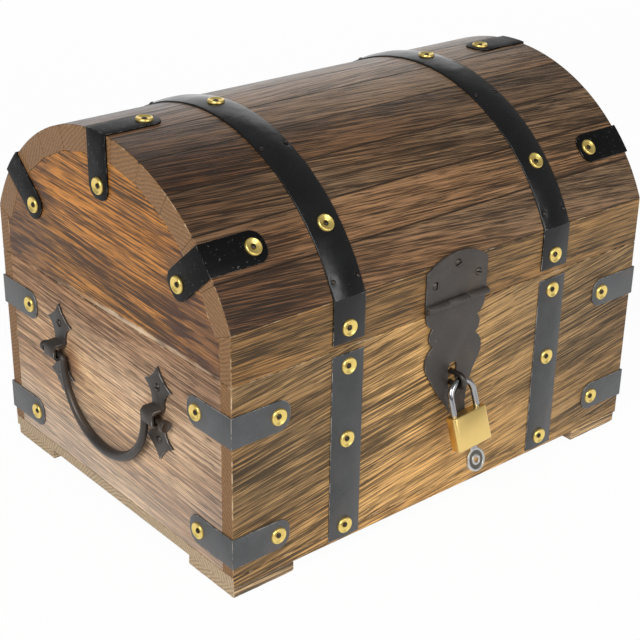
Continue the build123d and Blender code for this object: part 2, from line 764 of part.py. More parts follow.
with BuildPart() as hasp_slotted_leaf:
    with BuildSketch(section_plane(hasp_offset - hasp_half)):
        with BuildLine():
            leaf_top = Line((leaf_back_y, hasp_z), (leaf_back_y, curl_z))
            JernArc(start=leaf_top @ 1, tangent=leaf_top % 1, radius=curl_radius, arc_size=-curl_angle)
            offset(amount=hasp_leaf, side=Side.RIGHT)
        make_face()
    extrude(amount=hasp_width)
    with BuildSketch(front_plane(hasp_offset, hasp_z)):
        with BuildLine():
            Line(leaf_point((tab_share[0], 0), -1), leaf_point((tab_share[0], 0)))
            for side in (-1, 1):
                Line(leaf_point((tab_share[0], 0), side), leaf_point(tab_share, side))
                ThreePointArc(
                    leaf_point(tab_share, side),
                    leaf_point(tab_curve_share, side),
                    leaf_point(upper_notch_share, side),
                )
                ThreePointArc(
                    leaf_point(upper_notch_share, side),
                    leaf_point(bulge_share, side),
                    leaf_point(lower_notch_share, side),
                )
                ThreePointArc(
                    leaf_point(lower_notch_share, side),
                    leaf_point(belly_share, side),
                    leaf_point(belly_end_share, side),
                )
                Line(leaf_point(belly_end_share, side), leaf_point(taper_end_share, side))
            ThreePointArc(leaf_point(taper_end_share, -1), (0, -hasp_length), leaf_point(taper_end_share))
        make_face()
    extrude(amount=hasp_width, mode=Mode.INTERSECT)
    slot_middle = hasp_z - hasp_slot_top - hasp_slot_length / 2
    with BuildSketch(front_plane(hasp_offset, slot_middle)):
        SlotOverall(hasp_slot_length, hasp_slot_width, rotation=90)
    extrude(amount=hasp_length, mode=Mode.SUBTRACT)
    for start, end in (hasp_knuckles[0], hasp_knuckles[2]):
        with BuildSketch(barrel_plane(start - knuckle_gap, hasp_y, hasp_z)):
            Circle(hasp_barrel_radius + knuckle_gap)
        extrude(amount=end - start + 2 * knuckle_gap, mode=Mode.SUBTRACT)
    start, end = hasp_knuckles[1]
    with BuildSketch(barrel_plane(start, hasp_y, hasp_z)):
        RegularPolygon(hasp_barrel_radius, barrel_sides)
    extrude(amount=end - start)
    with BuildSketch(barrel_plane(start - knuckle_gap, hasp_y, hasp_z)):
        RegularPolygon(hasp_pin_radius + running_clearance, barrel_sides, major_radius=False)
    extrude(amount=end - start + 2 * knuckle_gap, mode=Mode.SUBTRACT)
hasp_slotted_leaf.part.label = "hasp_slotted_leaf"
export_step(hasp_slotted_leaf.part, "parts/hasp_slotted_leaf.step")

# Staple: a rod bent round and driven through the front board
staple_bend = staple_spacing / 2
staple_bend_y = front_y - staple_reach + staple_rod_radius + staple_bend
with BuildPart() as hasp_staple:
    with BuildLine(section_plane(hasp_offset)) as staple_line:
        Polyline(
            (front_y + staple_depth, staple_z - staple_bend),
            *bend_points((staple_bend_y, staple_z), staple_bend, -pi / 2),
            (front_y + staple_depth, staple_z + staple_bend),
        )
    with BuildSketch(Plane(origin=staple_line.wire() @ 0, z_dir=staple_line.wire() % 0)):
        RegularPolygon(staple_rod_radius, rod_sides)
    sweep(transition=Transition.RIGHT)
hasp_staple.part.label = "hasp_staple"
export_step(hasp_staple.part, "parts/hasp_staple.step")

# Padlock shackle: the long leg on the left stays in the case when the lock is open
bow = shackle_spacing / 2
with BuildPart() as padlock_shackle:
    with BuildLine(lock_plane) as shackle_line:
        Polyline(
            (-bow, -shackle_drop - shackle_long_leg),
            *bend_points((0, -bow), bow, pi),
            (bow, -shackle_drop - shackle_short_leg),
        )
    with BuildSketch(Plane(origin=shackle_line.wire() @ 0, z_dir=shackle_line.wire() % 0)):
        RegularPolygon(shackle_radius, rod_sides)
    sweep(transition=Transition.RIGHT)
padlock_shackle.part.label = "padlock_shackle"
export_step(padlock_shackle.part, "parts/padlock_shackle.step")

# The padlock case's outline from above, with each round corner made of a few short runs
case_outline = []
for turn, (side_x, side_y) in enumerate(((1, 1), (-1, 1), (-1, -1), (1, -1))):
    for step in range(lock_corner_steps + 1):
        angle = pi / 2 * (turn + step / lock_corner_steps)
        corner_x = side_x * (lock_width / 2 - lock_corner)
        corner_y = side_y * (lock_depth / 2 - lock_corner)
        case_outline.append((corner_x + lock_corner * cos(angle), corner_y + lock_corner * sin(angle)))

# Padlock case, with bores for the legs of the shackle and for the cylinder
lock_foot = shackle_drop + lock_height
with BuildPart() as padlock_case:
    with BuildSketch(lock_level(lock_foot)):
        Polygon(*case_outline)
    extrude(amount=lock_height)
    along_lock = Axis(lock_plane.origin, lock_plane.y_dir)
    rims = padlock_case.faces().sort_by(along_lock)
    chamfer(rims[0].edges() + rims[-1].edges(), lock_edge)
    for x, leg in ((-bow, shackle_long_leg), (bow, shackle_short_leg)):
        with BuildSketch(lock_level(shackle_drop)):
            with Locations((x, 0)):
                RegularPolygon(shackle_radius + shackle_bore_gap, bore_sides, major_radius=False)
        extrude(amount=-leg - shackle_rest_gap, mode=Mode.SUBTRACT)
    with BuildSketch(lock_level(lock_foot)):
        RegularPolygon(plug_radius + running_clearance, bore_sides, major_radius=False)
    extrude(amount=plug_length + running_clearance, mode=Mode.SUBTRACT)
padlock_case.part.label = "padlock_case"
export_step(padlock_case.part, "parts/padlock_case.step")

with BuildPart() as padlock_cylinder:
    with BuildSketch(lock_level(lock_foot)):
        Circle(plug_radius)
        Rectangle(keyway_width, keyway_thickness, mode=Mode.SUBTRACT)
    extrude(amount=plug_length)
padlock_cylinder.part.label = "padlock_cylinder"
export_step(padlock_cylinder.part, "parts/padlock_cylinder.step")


def oval_points(half_width, half_height):
    """The corners of the key's oval bow."""
    turns = [2 * pi * index / key_sides for index in range(key_sides)]
    return [(half_width * cos(turn), half_height * sin(turn)) for turn in turns]


# Key: an oval bow with a raised rim and ring, and a blade with cuts along one edge
blade_half = keyway_width / 2 - keyway_gap
key_thickness = keyway_thickness - 2 * keyway_gap
bow_middle = -lock_foot - key_collar - key_bow_height / 2
blade_tip = -lock_foot + plug_length - key_tip_gap
with BuildPart() as padlock_key:
    with BuildSketch(lock_plane.offset(-key_thickness / 2)):
        with BuildLine():
            Polyline(
                (-blade_half, bow_middle),
                (-blade_half, blade_tip - key_cut_depth),
                (-blade_half + key_cut_depth, blade_tip),
                (blade_half - key_cut_depth, blade_tip),
                (blade_half, blade_tip - key_cut_depth),
                (blade_half, bow_middle),
                close=True,
            )
        make_face()
        for index in range(key_cut_count):
            cut_y = blade_tip - (index + 1) * key_cut_spacing
            with BuildLine():
                Polyline(
                    (blade_half, cut_y + key_cut_depth),
                    (blade_half - key_cut_depth, cut_y),
                    (blade_half, cut_y - key_cut_depth),
                    close=True,
                )
            make_face(mode=Mode.SUBTRACT)
        with Locations((0, bow_middle)):
            Polygon(*oval_points(key_bow_width / 2, key_bow_height / 2))
            RegularPolygon(key_hole_radius, key_sides, mode=Mode.SUBTRACT)
    extrude(amount=key_thickness)
    for pocket_z in (-key_thickness / 2, key_thickness / 2 - key_pocket):
        with BuildSketch(lock_plane.offset(pocket_z)):
            with Locations((0, bow_middle)):
                Polygon(*oval_points(key_bow_width / 2 - key_rim, key_bow_height / 2 - key_rim))
                RegularPolygon(key_hole_radius + key_rim, key_sides, mode=Mode.SUBTRACT)
        extrude(amount=key_pocket, mode=Mode.SUBTRACT)
padlock_key.part.label = "padlock_key"
export_step(padlock_key.part, "parts/padlock_key.step")


def hollow_points(start, end):
    """Points from start up to end along a curve hollowed towards the left of its direction."""
    run_x = end[0] - start[0]
    run_y = end[1] - start[1]
    run = sqrt(run_x**2 + run_y**2)
    points = []
    for step in range(bracket_hollow_steps):
        share = step / bracket_hollow_steps
        depth = bracket_hollow * (1 - (2 * share - 1) ** 2) / run
        point_x = start[0] + run_x * share - run_y * depth
        point_y = start[1] + run_y * share + run_x * depth
        points.append((point_x, point_y))
    return points


# Bail brackets: a strap with spearhead ends, bent out in the middle into a loop for the pin
bail_inner_span = bail_span - 2 * bail_pin_reach
bracket_spacing = bail_inner_span + 2 * bracket_offset
bracket_z = seam_z - bracket_drop
loop_inner = loop_reach - bracket_thickness
loop_half = loop_height / 2 - bracket_thickness
spear_tip = (0, bracket_tip)
spear_point = (bracket_point_reach, bracket_point_height)
spear_waist = (bracket_waist, bracket_waist_height)
spear_side = hollow_points(spear_waist, spear_point) + hollow_points(spear_point, spear_tip)
for side_name, side in (("left", -1), ("right", 1)):
    for end_name, y in (
        ("front", centre_y - bracket_spacing / 2),
        ("back", centre_y + bracket_spacing / 2),
    ):
        with BuildPart() as bracket:
            strap_side = Plane(
                origin=(side * end_x, y - bracket_point_reach, bracket_z),
                x_dir=(side, 0, 0),
                z_dir=(0, -side, 0),
            )
            with BuildSketch(strap_side):
                with BuildLine():
                    Polyline(
                        (0, bracket_tip),
                        (0, loop_half + loop_corner),
                        (loop_corner, loop_half),
                        (loop_inner - loop_corner, loop_half),
                        (loop_inner, loop_half - loop_corner),
                        (loop_inner, -loop_half + loop_corner),
                        (loop_inner - loop_corner, -loop_half),
                        (loop_corner, -loop_half),
                        (0, -loop_half - loop_corner),
                        (0, -bracket_tip),
                    )
                    offset(amount=bracket_thickness, side=Side.LEFT, kind=Kind.INTERSECTION)
                make_face()
            extrude(amount=-side * 2 * bracket_point_reach)
            with BuildSketch(end_plane(side, y, bracket_z)) as spearheads:
                with BuildLine():
                    Polyline((0, 0), (bracket_waist, 0), *spear_side, spear_tip, close=True)
                make_face()
                mirror(about=Plane.YZ)
                mirror(about=Plane.XZ)
            extrude(amount=loop_reach, mode=Mode.INTERSECT)
        bracket.part.label = f"{side_name}_{end_name}_bail_bracket"
        export_step(bracket.part, f"parts/{side_name}_{end_name}_bail_bracket.step")

bracket_screw_planes = []
for side in (-1, 1):
    for y in (centre_y - bracket_spacing / 2, centre_y + bracket_spacing / 2):
        for rise in (-bracket_screw_height, bracket_screw_height):
            bracket_screw_planes.append(end_plane(side, y, bracket_z + rise, bracket_thickness))
with BuildPart() as bail_bracket_screws:
    with Locations(*bracket_screw_planes):
        add(screw.part)
bail_bracket_screws.part.label = "bail_bracket_screws"
export_step(bail_bracket_screws.part, "parts/bail_bracket_screws.step")

# Bails: a forged bow, thickest in the hand, with pins that turn out through the loops to a knob
pin_z = bracket_z - loop_half + bail_seat_gap + bail_pin_radius
grip_half = bail_inner_span / 2
pin_start = grip_half + bail_elbow
pin_end = bail_span / 2

# Each station of the rod: its place, the angle of its direction, and its radius
bail_stations = [((pin_end - knob_length, 0), pi, bail_pin_radius)]
for step in range(bail_elbow_steps + 1):
    share = step / bail_elbow_steps
    angle = pi / 2 * share
    place = (pin_start - bail_elbow * sin(angle), -bail_elbow + bail_elbow * cos(angle))
    radius = bail_pin_radius + (bail_thin_radius - bail_pin_radius) * share
    bail_stations.append((place, pi + angle, radius))
bow_height = bail_drop - bail_elbow
for step in range(1, bail_bow_steps):
    angle = pi * step / bail_bow_steps
    place = (grip_half * cos(angle), -bail_elbow - bow_height * sin(angle))
    heading = atan(bow_height * cos(angle) / (grip_half * sin(angle)))
    radius = bail_thin_radius + (bail_thick_radius - bail_thin_radius) * sin(angle)
    bail_stations.append((place, pi + heading, radius))
for place, heading, radius in bail_stations[bail_elbow_steps + 1 :: -1]:
    bail_stations.append(((-place[0], place[1]), -heading, radius))

for bail_name, side in (("left_bail", -1), ("right_bail", 1)):
    bail_plane = end_plane(side, centre_y, pin_z, bail_stand_off)
    with BuildPart() as bail:
        for place, heading, radius in bail_stations:
            middle = bail_plane.from_local_coords((place[0], place[1], 0))
            along = bail_plane.x_dir * cos(heading) + bail_plane.y_dir * sin(heading)
            with BuildSketch(Plane(origin=middle, x_dir=bail_plane.z_dir, z_dir=along)):
                RegularPolygon(radius, rod_sides)
        loft(ruled=True)
        for end in (-1, 1):
            knob_plane = Plane(
                origin=bail_plane.from_local_coords((end * (pin_end - knob_length), 0, 0)),
                x_dir=bail_plane.z_dir,
                z_dir=bail_plane.x_dir * end,
            )
            with BuildSketch(knob_plane):
                RegularPolygon(knob_radius, rod_sides)
            extrude(amount=knob_length)
            with BuildSketch(knob_plane.offset(knob_length)):
                RegularPolygon(knob_radius - knob_rim, rod_sides)
            extrude(amount=-knob_dish, taper=knob_taper, mode=Mode.SUBTRACT)
    bail.part.label = bail_name
    export_step(bail.part, f"parts/{bail_name}.step")
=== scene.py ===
"""A wooden treasure chest with an arched, coopered lid, iron straps and bands, brass rosettes, two bail
handles, and a hasp and staple held by a small brass padlock.

Sizes are in metres. +X runs along the chest to the right, and the front faces -Y."""

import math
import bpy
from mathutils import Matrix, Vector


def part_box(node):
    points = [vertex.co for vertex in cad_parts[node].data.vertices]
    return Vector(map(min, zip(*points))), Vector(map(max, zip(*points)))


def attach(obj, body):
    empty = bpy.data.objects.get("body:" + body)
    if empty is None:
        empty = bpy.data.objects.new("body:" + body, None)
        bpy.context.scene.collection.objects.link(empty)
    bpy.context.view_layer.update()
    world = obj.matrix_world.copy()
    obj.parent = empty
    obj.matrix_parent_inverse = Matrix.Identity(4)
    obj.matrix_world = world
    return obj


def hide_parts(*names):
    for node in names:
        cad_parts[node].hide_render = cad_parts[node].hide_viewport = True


bl_info = {
    "name": "Treasure Chest Box",
    "version": (1, 0, 0),
    "blender": (4, 5, 0),
    "location": "View3D > Sidebar > Chest",
    "description": "Dresses a treasure chest box with its wood, iron, brass, nails, lock and handles",
    "category": "Add Mesh",
}

import bmesh
import bpy
from mathutils import Matrix, Vector, noise

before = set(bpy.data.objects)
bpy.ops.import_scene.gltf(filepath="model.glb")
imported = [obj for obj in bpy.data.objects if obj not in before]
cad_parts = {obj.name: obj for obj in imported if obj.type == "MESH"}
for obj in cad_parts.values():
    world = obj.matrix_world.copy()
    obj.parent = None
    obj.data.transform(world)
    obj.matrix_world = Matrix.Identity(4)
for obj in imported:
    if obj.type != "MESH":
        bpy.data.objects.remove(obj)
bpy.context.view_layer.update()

# The chest's levels and faces, read from the frame
base_low, base_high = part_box("base_board")
front_y = base_low.y
back_y = base_high.y
end_x = base_high.x
centre_y = (front_y + back_y) / 2
base_z = base_low.z
seam_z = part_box("front_board")[1].z
lid_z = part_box("lid_front_board")[0].z
spring_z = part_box("lid_front_board")[1].z
apex_z = seam_z + 0.1255

# The lid's arch
half_depth = (back_y - front_y) / 2
arch_rise = apex_z - spring_z
arch_radius = (half_depth**2 + arch_rise**2) / (2 * arch_rise)
arch_z = apex_z - arch_radius
arch_half_angle = math.asin(half_depth / arch_radius)
stave_count = 11
stave_angle = 2 * arch_half_angle / stave_count
stave_thickness = 0.017
stave_grain_lean = 0.22

# Straps and bands
strap_thickness = 0.0012
strap_nail_inset = 0.036
strap_levels = (seam_z - 0.031, base_z + 0.027)
lid_strap_angle = 0.731 * arch_half_angle
band_width = 0.0265
band_x = 0.097
band_edge = 0.0008
body_band_crown = 0.0014
lid_band_crown = 0.0026
crown_flat = 0.33 * band_width / 2
flat_band = 0.0012
lid_band_nail_height = 0.014
lid_band_nail_angle = 0.724 * arch_half_angle
lowest_nail_z = base_z + 0.012
highest_nail_z = seam_z - 0.013
middle_nail_z = lowest_nail_z + 0.554 * (highest_nail_z - lowest_nail_z)
tack_offset = 0.010
seat_reach = 0.006
dent_reach = 0.0026
tack_angles = [share * arch_half_angle for share in (-0.935, -0.362, 0.362, 0.935)]

# Hasp, staple and padlock
hasp_offset = -0.0015
hasp_leaf = 0.0016
hasp_z = seam_z + 0.0064
staple_z = hasp_z - 0.0584
staple_bend = 0.0044
staple_reach = 0.0155
staple_depth = 0.009
lock_lean = math.radians(17)
lock_tilt = math.radians(3)
shackle_bow = 0.011
shackle_drop = 0.0225
shackle_legs = (0.015, 0.007)
staple_rod = 0.0019
shackle_rod = 0.0023
lock_rest_gap = 0.0003

# Bail handles
bracket_spacing = 0.122
bracket_z = seam_z - 0.050
bracket_thickness = 0.0018
bracket_screw_height = 0.0195
loop_half = 0.0042
bail_seat_gap = 0.0003
bail_stand_off = 0.006
bail_span = 0.153
bail_grip_half = 0.051
bail_drop = 0.0515
bail_elbow = 0.003
knob_length = 0.004

# Butt hinges
hinge_offset = 0.055
hinge_leaf = 0.0015
hinge_screw_spacing = 0.022
hinge_screw_reach = 0.016

frontward = Vector((0, -1, 0))
backward = Vector((0, 1, 0))

# How the tones spread over wood, end grain and iron: (position on the ramp, share of the tone)
wood_shades = ((0.1, 0.2), (0.35, 0.6), (0.58, 1.15), (0.86, 1.8))
end_grain_shades = ((0.2, 0.5), (0.5, 0.95), (0.8, 1.45))
iron_shades = ((0.3, 0.7), (0.5, 0.95), (0.62, 1.15), (0.8, 1.6))


def tone_setting(name, default, description):
    """A setting for a colour."""
    return bpy.props.FloatVectorProperty(
        name=name, description=description, default=default, subtype="COLOR", size=3, min=0.0, max=1.0
    )


def length_setting(name, default, description):
    """A setting for a length."""
    return bpy.props.FloatProperty(
        name=name, description=description, default=default, unit="LENGTH", subtype="DISTANCE"
    )


class ChestWoodSettings(bpy.types.PropertyGroup):
    """Colours and wear of the chest's wood."""

    body_tone: tone_setting("Body wood", (0.55, 0.32, 0.115), "Middle tone of the body's boards")
    end_tone: tone_setting("End wood", (0.6, 0.395, 0.25), "Middle tone of the body's end boards")
    panel_tone: tone_setting("Lid end wood", (0.33, 0.15, 0.028), "Middle tone of the lid's end panels")
    stave_tone: tone_setting("Stave wood", (0.2, 0.123, 0.067), "Middle tone of the lid's staves")
    foot_tone: tone_setting("Foot wood", (0.5, 0.37, 0.23), "Middle tone of the feet")
    rim_tone: tone_setting("End grain", (0.25, 0.125, 0.045), "Colour of the sawn ends")
    bare_tone: tone_setting("Bare wood", (0.62, 0.46, 0.29), "Pale wood where an edge has worn")
    edge_wear: bpy.props.FloatProperty(
        name="Edge wear",
        description="How far the edges have worn to bare wood",
        default=0.6,
        subtype="FACTOR",
        min=0.0,
        max=1.0,
    )
    ease: length_setting("Eased edge", 0.0006, "Width of the boards' eased edges")
    rough_edge: length_setting("Rough edge", 0.0004, "How far the feet's edges wander")


class ChestIronSettings(bpy.types.PropertyGroup):
    """Colours and edges of the ironwork."""

    band_tone: tone_setting("Band iron", (0.032, 0.033, 0.034), "Colour of the straps and bands")
    forged_tone: tone_setting("Forged iron", (0.066, 0.058, 0.052), "Colour of the hasp, hinges and handles")
    worn_tone: tone_setting("Worn iron", (0.42, 0.39, 0.35), "Colour of the metal where an edge is rubbed")
    ease: length_setting("Eased edge", 0.00025, "Width of the eased edges of the ironwork")
    dent_depth: length_setting("Tack dent", 0.0005, "Depth of the dent round each tack of the lid bands")


class ChestNailSettings(bpy.types.PropertyGroup):
    """Rosettes, nails and screws."""

    brass_tone: tone_setting("Rosette brass", (0.83, 0.63, 0.19), "Colour of the rosettes")
    rosette_radius: length_setting("Rosette radius", 0.006, "Radius of a rosette")
    rosette_height: length_setting("Rosette height", 0.0016, "Height of a rosette's rim")
    nail_radius: length_setting("Nail radius", 0.0017, "Radius of a nail's head")
    screw_radius: length_setting("Screw radius", 0.0029, "Radius of a screw's head")
    seed: bpy.props.IntProperty(name="Seed", description="Seed of the nails' turn and lean", default=7, min=0)


class ChestLockSettings(bpy.types.PropertyGroup):
    """The padlock, its shackle and its key."""

    brass_tone: tone_setting("Padlock brass", (0.83, 0.6, 0.22), "Colour of the padlock's case")
    chrome_tone: tone_setting("Shackle chrome", (0.36, 0.36, 0.37), "Colour of the plated shackle")
    key_tone: tone_setting("Key steel", (0.55, 0.54, 0.52), "Colour of the key")
    shackle_radius: length_setting("Shackle radius", shackle_rod, "Radius of the shackle's rod")
    staple_radius: length_setting("Staple radius", staple_rod, "Radius of the staple's rod")


class ChestHandleSettings(bpy.types.PropertyGroup):
    """The bail handles."""

    thick_radius: length_setting("Grip radius", 0.0037, "Radius of a bail in the middle of its grip")
    thin_radius: length_setting("Leg radius", 0.0026, "Radius of a bail at its elbows")
    pin_radius: length_setting("Pin radius", 0.0019, "Radius of a bail's out-turned pins")
    knob_radius: length_setting("Knob radius", 0.004, "Radius of the knobs at the pins' ends")


class ChestStageSettings(bpy.types.PropertyGroup):
    """The floor, the lamps and the camera."""

    floor_tone: tone_setting("Floor", (0.9, 0.9, 0.9), "Colour of the floor")
    room_light: bpy.props.FloatProperty(
        name="Room light", description="Strength of the even light from all sides", default=0.26, min=0.0
    )
    key_power: bpy.props.FloatProperty(
        name="Key lamp",
        description="Power of the large lamp at the front left",
        default=30.0,
        unit="POWER",
        min=0.0,
    )
    lens: bpy.props.FloatProperty(
        name="Lens", description="Focal length of the camera", default=81.88, subtype="DISTANCE_CAMERA"
    )


class NodeTree:
    """A node tree, emptied, whose nodes are added from left to right."""

    def __init__(self, tree):
        self.tree = tree
        tree.nodes.clear()

    def plug(self, socket, value):
        if isinstance(value, bpy.types.NodeSocket):
            self.tree.links.new(value, socket)
        else:
            socket.default_value = value

    def add(self, kind, settings=None, **sockets):
        node = self.tree.nodes.new(kind)
        for key, value in (settings or {}).items():
            setattr(node, key, value)
        for key, value in sockets.items():
            self.plug(node.inputs[key.replace("_", " ")], value)
        return node

    def math(self, operation, *values):
        node = self.add("ShaderNodeMath", {"operation": operation})
        for socket, value in zip(node.inputs, values):
            self.plug(socket, value)
        return node.outputs[0]

    def times(self, first, second):
        return self.math("MULTIPLY", first, second)

    def times_plus(self, first, second, third):
        return self.math("MULTIPLY_ADD", first, second, third)

    def vector(self, operation, *values, **sockets):
        node = self.add("ShaderNodeVectorMath", {"operation": operation}, **sockets)
        for socket, value in zip(node.inputs, values):
            self.plug(socket, value)
        return node

    def seen_by(self, first, second):
        """1 for two kinds of ray, 0 for the others."""
        path = self.add("ShaderNodeLightPath")
        return self.math("MAXIMUM", path.outputs[f"Is {first} Ray"], path.outputs[f"Is {second} Ray"])


class Shader(NodeTree):
    """A material's nodes, all on Object coordinates."""

    def __init__(self, name, **surface):
        self.material = bpy.data.materials.new(name)
        self.material.use_nodes = True
        super().__init__(self.material.node_tree)
        self.surface = self.add("ShaderNodeBsdfPrincipled", **surface)
        self.add("ShaderNodeOutputMaterial", Surface=self.surface.outputs[0])
        self.place = self.add("ShaderNodeTexCoord").outputs["Object"]

    def mapped(self, scale, location=(0, 0, 0), rotation=(0, 0, 0), vector=None):
        node = self.add("ShaderNodeMapping", Scale=scale, Location=location, Rotation=rotation)
        self.plug(node.inputs["Vector"], vector or self.place)
        return node.outputs[0]

    def noise(self, vector, scale=1.0, detail=2.0, rough=0.5, distortion=0.0):
        node = self.add(
            "ShaderNodeTexNoise",
            Vector=vector,
            Scale=scale,
            Detail=detail,
            Roughness=rough,
            Distortion=distortion,
        )
        return node.outputs["Fac"]

    def mottle(self, scale, detail=2.0, rough=0.5, shift=(0, 0, 0)):
        """Noise of the same size in all directions."""
        return self.noise(self.mapped((1, 1, 1), shift), scale, detail, rough)

    def span(self, value, low, high, to_low=0.0, to_high=1.0):
        """A smooth step from one value to another."""
        node = self.add("ShaderNodeMapRange", {"interpolation_type": "SMOOTHSTEP"}, Value=value)
        for socket, end in zip(node.inputs[1:5], (low, high, to_low, to_high)):
            socket.default_value = end
        return node.outputs[0]

    def ramp(self, value, tone, shades):
        """The shades of a tone."""
        node = self.add("ShaderNodeValToRGB", Fac=value)
        elements = node.color_ramp.elements
        for _ in shades[2:]:
            elements.new(0.5)
        for element, (position, share) in zip(elements, shades):
            element.position = position
            element.color = (*shaded(tone, share), 1)
        return node.outputs["Color"]

    def blend(self, factor, first, second, mode="MIX"):
        node = self.add("ShaderNodeMix", {"data_type": "RGBA", "blend_type": mode})
        self.plug(node.inputs[0], factor)
        for socket, value in ((node.inputs[6], first), (node.inputs[7], second)):
            self.plug(socket, value if isinstance(value, bpy.types.NodeSocket) else (*value, 1))
        return node.outputs[2]

    def stain(self, colour, value, low, high, most, tint, mode="MULTIPLY"):
        """Lays a tint on a colour, from nothing where a value is low to the most where it is high."""
        return self.blend(self.span(value, low, high, 0, most), colour, tint, mode)

    def attribute(self, name, output="Fac"):
        return self.add("ShaderNodeAttribute", {"attribute_name": name}).outputs[output]

    def bump(self, height, distance, strength, normal=None):
        node = self.add("ShaderNodeBump", Height=height, Distance=distance, Strength=strength)
        if normal:
            self.plug(node.inputs["Normal"], normal)
        return node.outputs[0]

    def axis(self, index):
        return self.add("ShaderNodeSeparateXYZ", Vector=self.place).outputs[index]

    def from_middle(self, index, middle):
        """How far a point is from a middle, along one axis."""
        return self.math("ABSOLUTE", self.math("SUBTRACT", self.axis(index), middle))

    def finished(self, colour, rough, normal):
        for name, value in (("Base Color", colour), ("Roughness", rough), ("Normal", normal)):
            self.plug(self.surface.inputs[name], value)
        return self.material


def shaded(tone, share):
    """A tone made darker or lighter."""
    return tuple(min(1.0, channel * share) for channel in tone)


def make_wood(
    name, tone, axis, seed, contrast, gloss=0.45, slant=(0, 0, 0), extra=None, local=False, rim=None
):
    """Wood with a soft figure, long dark streaks, fibres and pores along one axis."""
    settings = bpy.context.scene.chest_wood
    shader = Shader(name, Specular_IOR_Level=0.3)
    board = shader.attribute("board")
    place = shader.place
    if local:
        lean = shader.times(shader.math("SUBTRACT", board, 0.5), stave_grain_lean)
        whole = shader.attribute("place", "Vector")
        turned = shader.add("ShaderNodeVectorRotate", {"rotation_type": "Z_AXIS"}, Vector=whole, Angle=lean)
        place = turned.outputs[0]
    start = shader.mapped((1, 1, 1), (seed, seed * 0.7, seed * 1.3), slant, place)
    wood_place = shader.vector("MULTIPLY_ADD", board, (3.7, 5.3, 2.9), start).outputs[0]

    def layer(along, across, detail=2.0, rough=0.5, distortion=0.0, shift=(0, 0, 0)):
        scale = tuple(along if index == axis else across for index in range(3))
        return shader.noise(shader.mapped(scale, shift, vector=wood_place), 1, detail, rough, distortion)

    figure = layer(3.2, 24, 3, distortion=0.8)
    zones = shader.span(figure, 0.34, 0.66)
    rings = shader.span(shader.math("SINE", shader.times(figure, 90)), -1, 1)
    streaks = shader.span(layer(12, 640, 3, 0.6), 0.38, 0.62)
    fibres = shader.span(layer(26, 1250, rough=0.55), 0.4, 0.6)
    mix = shader.times_plus(rings, 0.08, shader.times(fibres, 0.4))
    mix = shader.times_plus(streaks, 0.26, mix)
    mix = shader.times_plus(zones, 0.26, mix)
    level = shader.times_plus(shader.math("SUBTRACT", mix, 0.5), contrast, 0.5)
    colour = shader.ramp(level, tone, wood_shades)
    tinge = layer(3, 12, shift=(5, 2, 8))
    colour = shader.stain(colour, tinge, 0.36, 0.66, 0.35, (0.62, 0.37, 0.14), "OVERLAY")
    grey = layer(3, 16, shift=(1, 9, 3))
    colour = shader.stain(colour, grey, 0.42, 0.7, 0.3, (0.6, 0.62, 0.66))
    grouped = shader.span(layer(4, 26, shift=(7, 4, 1)), 0.4, 0.62)
    dark_lines = shader.span(layer(12, 900, shift=(2, 3, 5)), 0.52, 0.57, 0, 0.95)
    colour = shader.blend(shader.times(dark_lines, grouped), colour, shaded(tone, 0.2))
    pores = shader.span(layer(45, 1200, shift=(6, 1, 4)), 0.43, 0.35)
    colour = shader.blend(shader.times(pores, 0.75), colour, shaded(tone, 0.15))
    if extra:
        colour = extra(shader, colour)
    colour = shader.stain(colour, shader.attribute("tone"), 0, 1, 1, (0.42, 0.4, 0.42))

    across = shader.vector("LENGTH", shader.mapped((0, 1, 1), vector=wood_place)).outputs["Value"]
    waves = shader.noise(shader.mapped((0, 45, 45), vector=wood_place))
    growth = shader.times_plus(across, 2300, shader.times(waves, 14))
    end_rings = shader.span(shader.math("SINE", growth), -1, 1)
    end_fibres = shader.noise(shader.mapped((0, 420, 1100), vector=wood_place), rough=0.6)
    end_level = shader.times_plus(end_rings, 0.22, shader.times(end_fibres, 0.78))
    end_grain = shader.ramp(end_level, rim or settings.rim_tone, end_grain_shades)
    colour = shader.blend(shader.attribute("end"), colour, end_grain)
    colour = shader.blend(shader.times(shader.attribute("seam"), 0.8), colour, shaded(tone, 0.12))
    broken = shader.span(shader.mottle(90, 4, 0.65), 0.66 - 0.3 * settings.edge_wear, 0.7)
    edge = shader.times(shader.attribute("edge"), broken)
    colour = shader.blend(shader.times(edge, 0.8), colour, tuple(settings.bare_tone))
    rough = shader.times_plus(edge, 0.25, shader.times_plus(streaks, -0.12, gloss + 0.06))
    height = shader.times_plus(fibres, 0.5, shader.times(pores, -0.7))
    return shader.finished(colour, rough, shader.bump(height, 0.0002, 0.6))


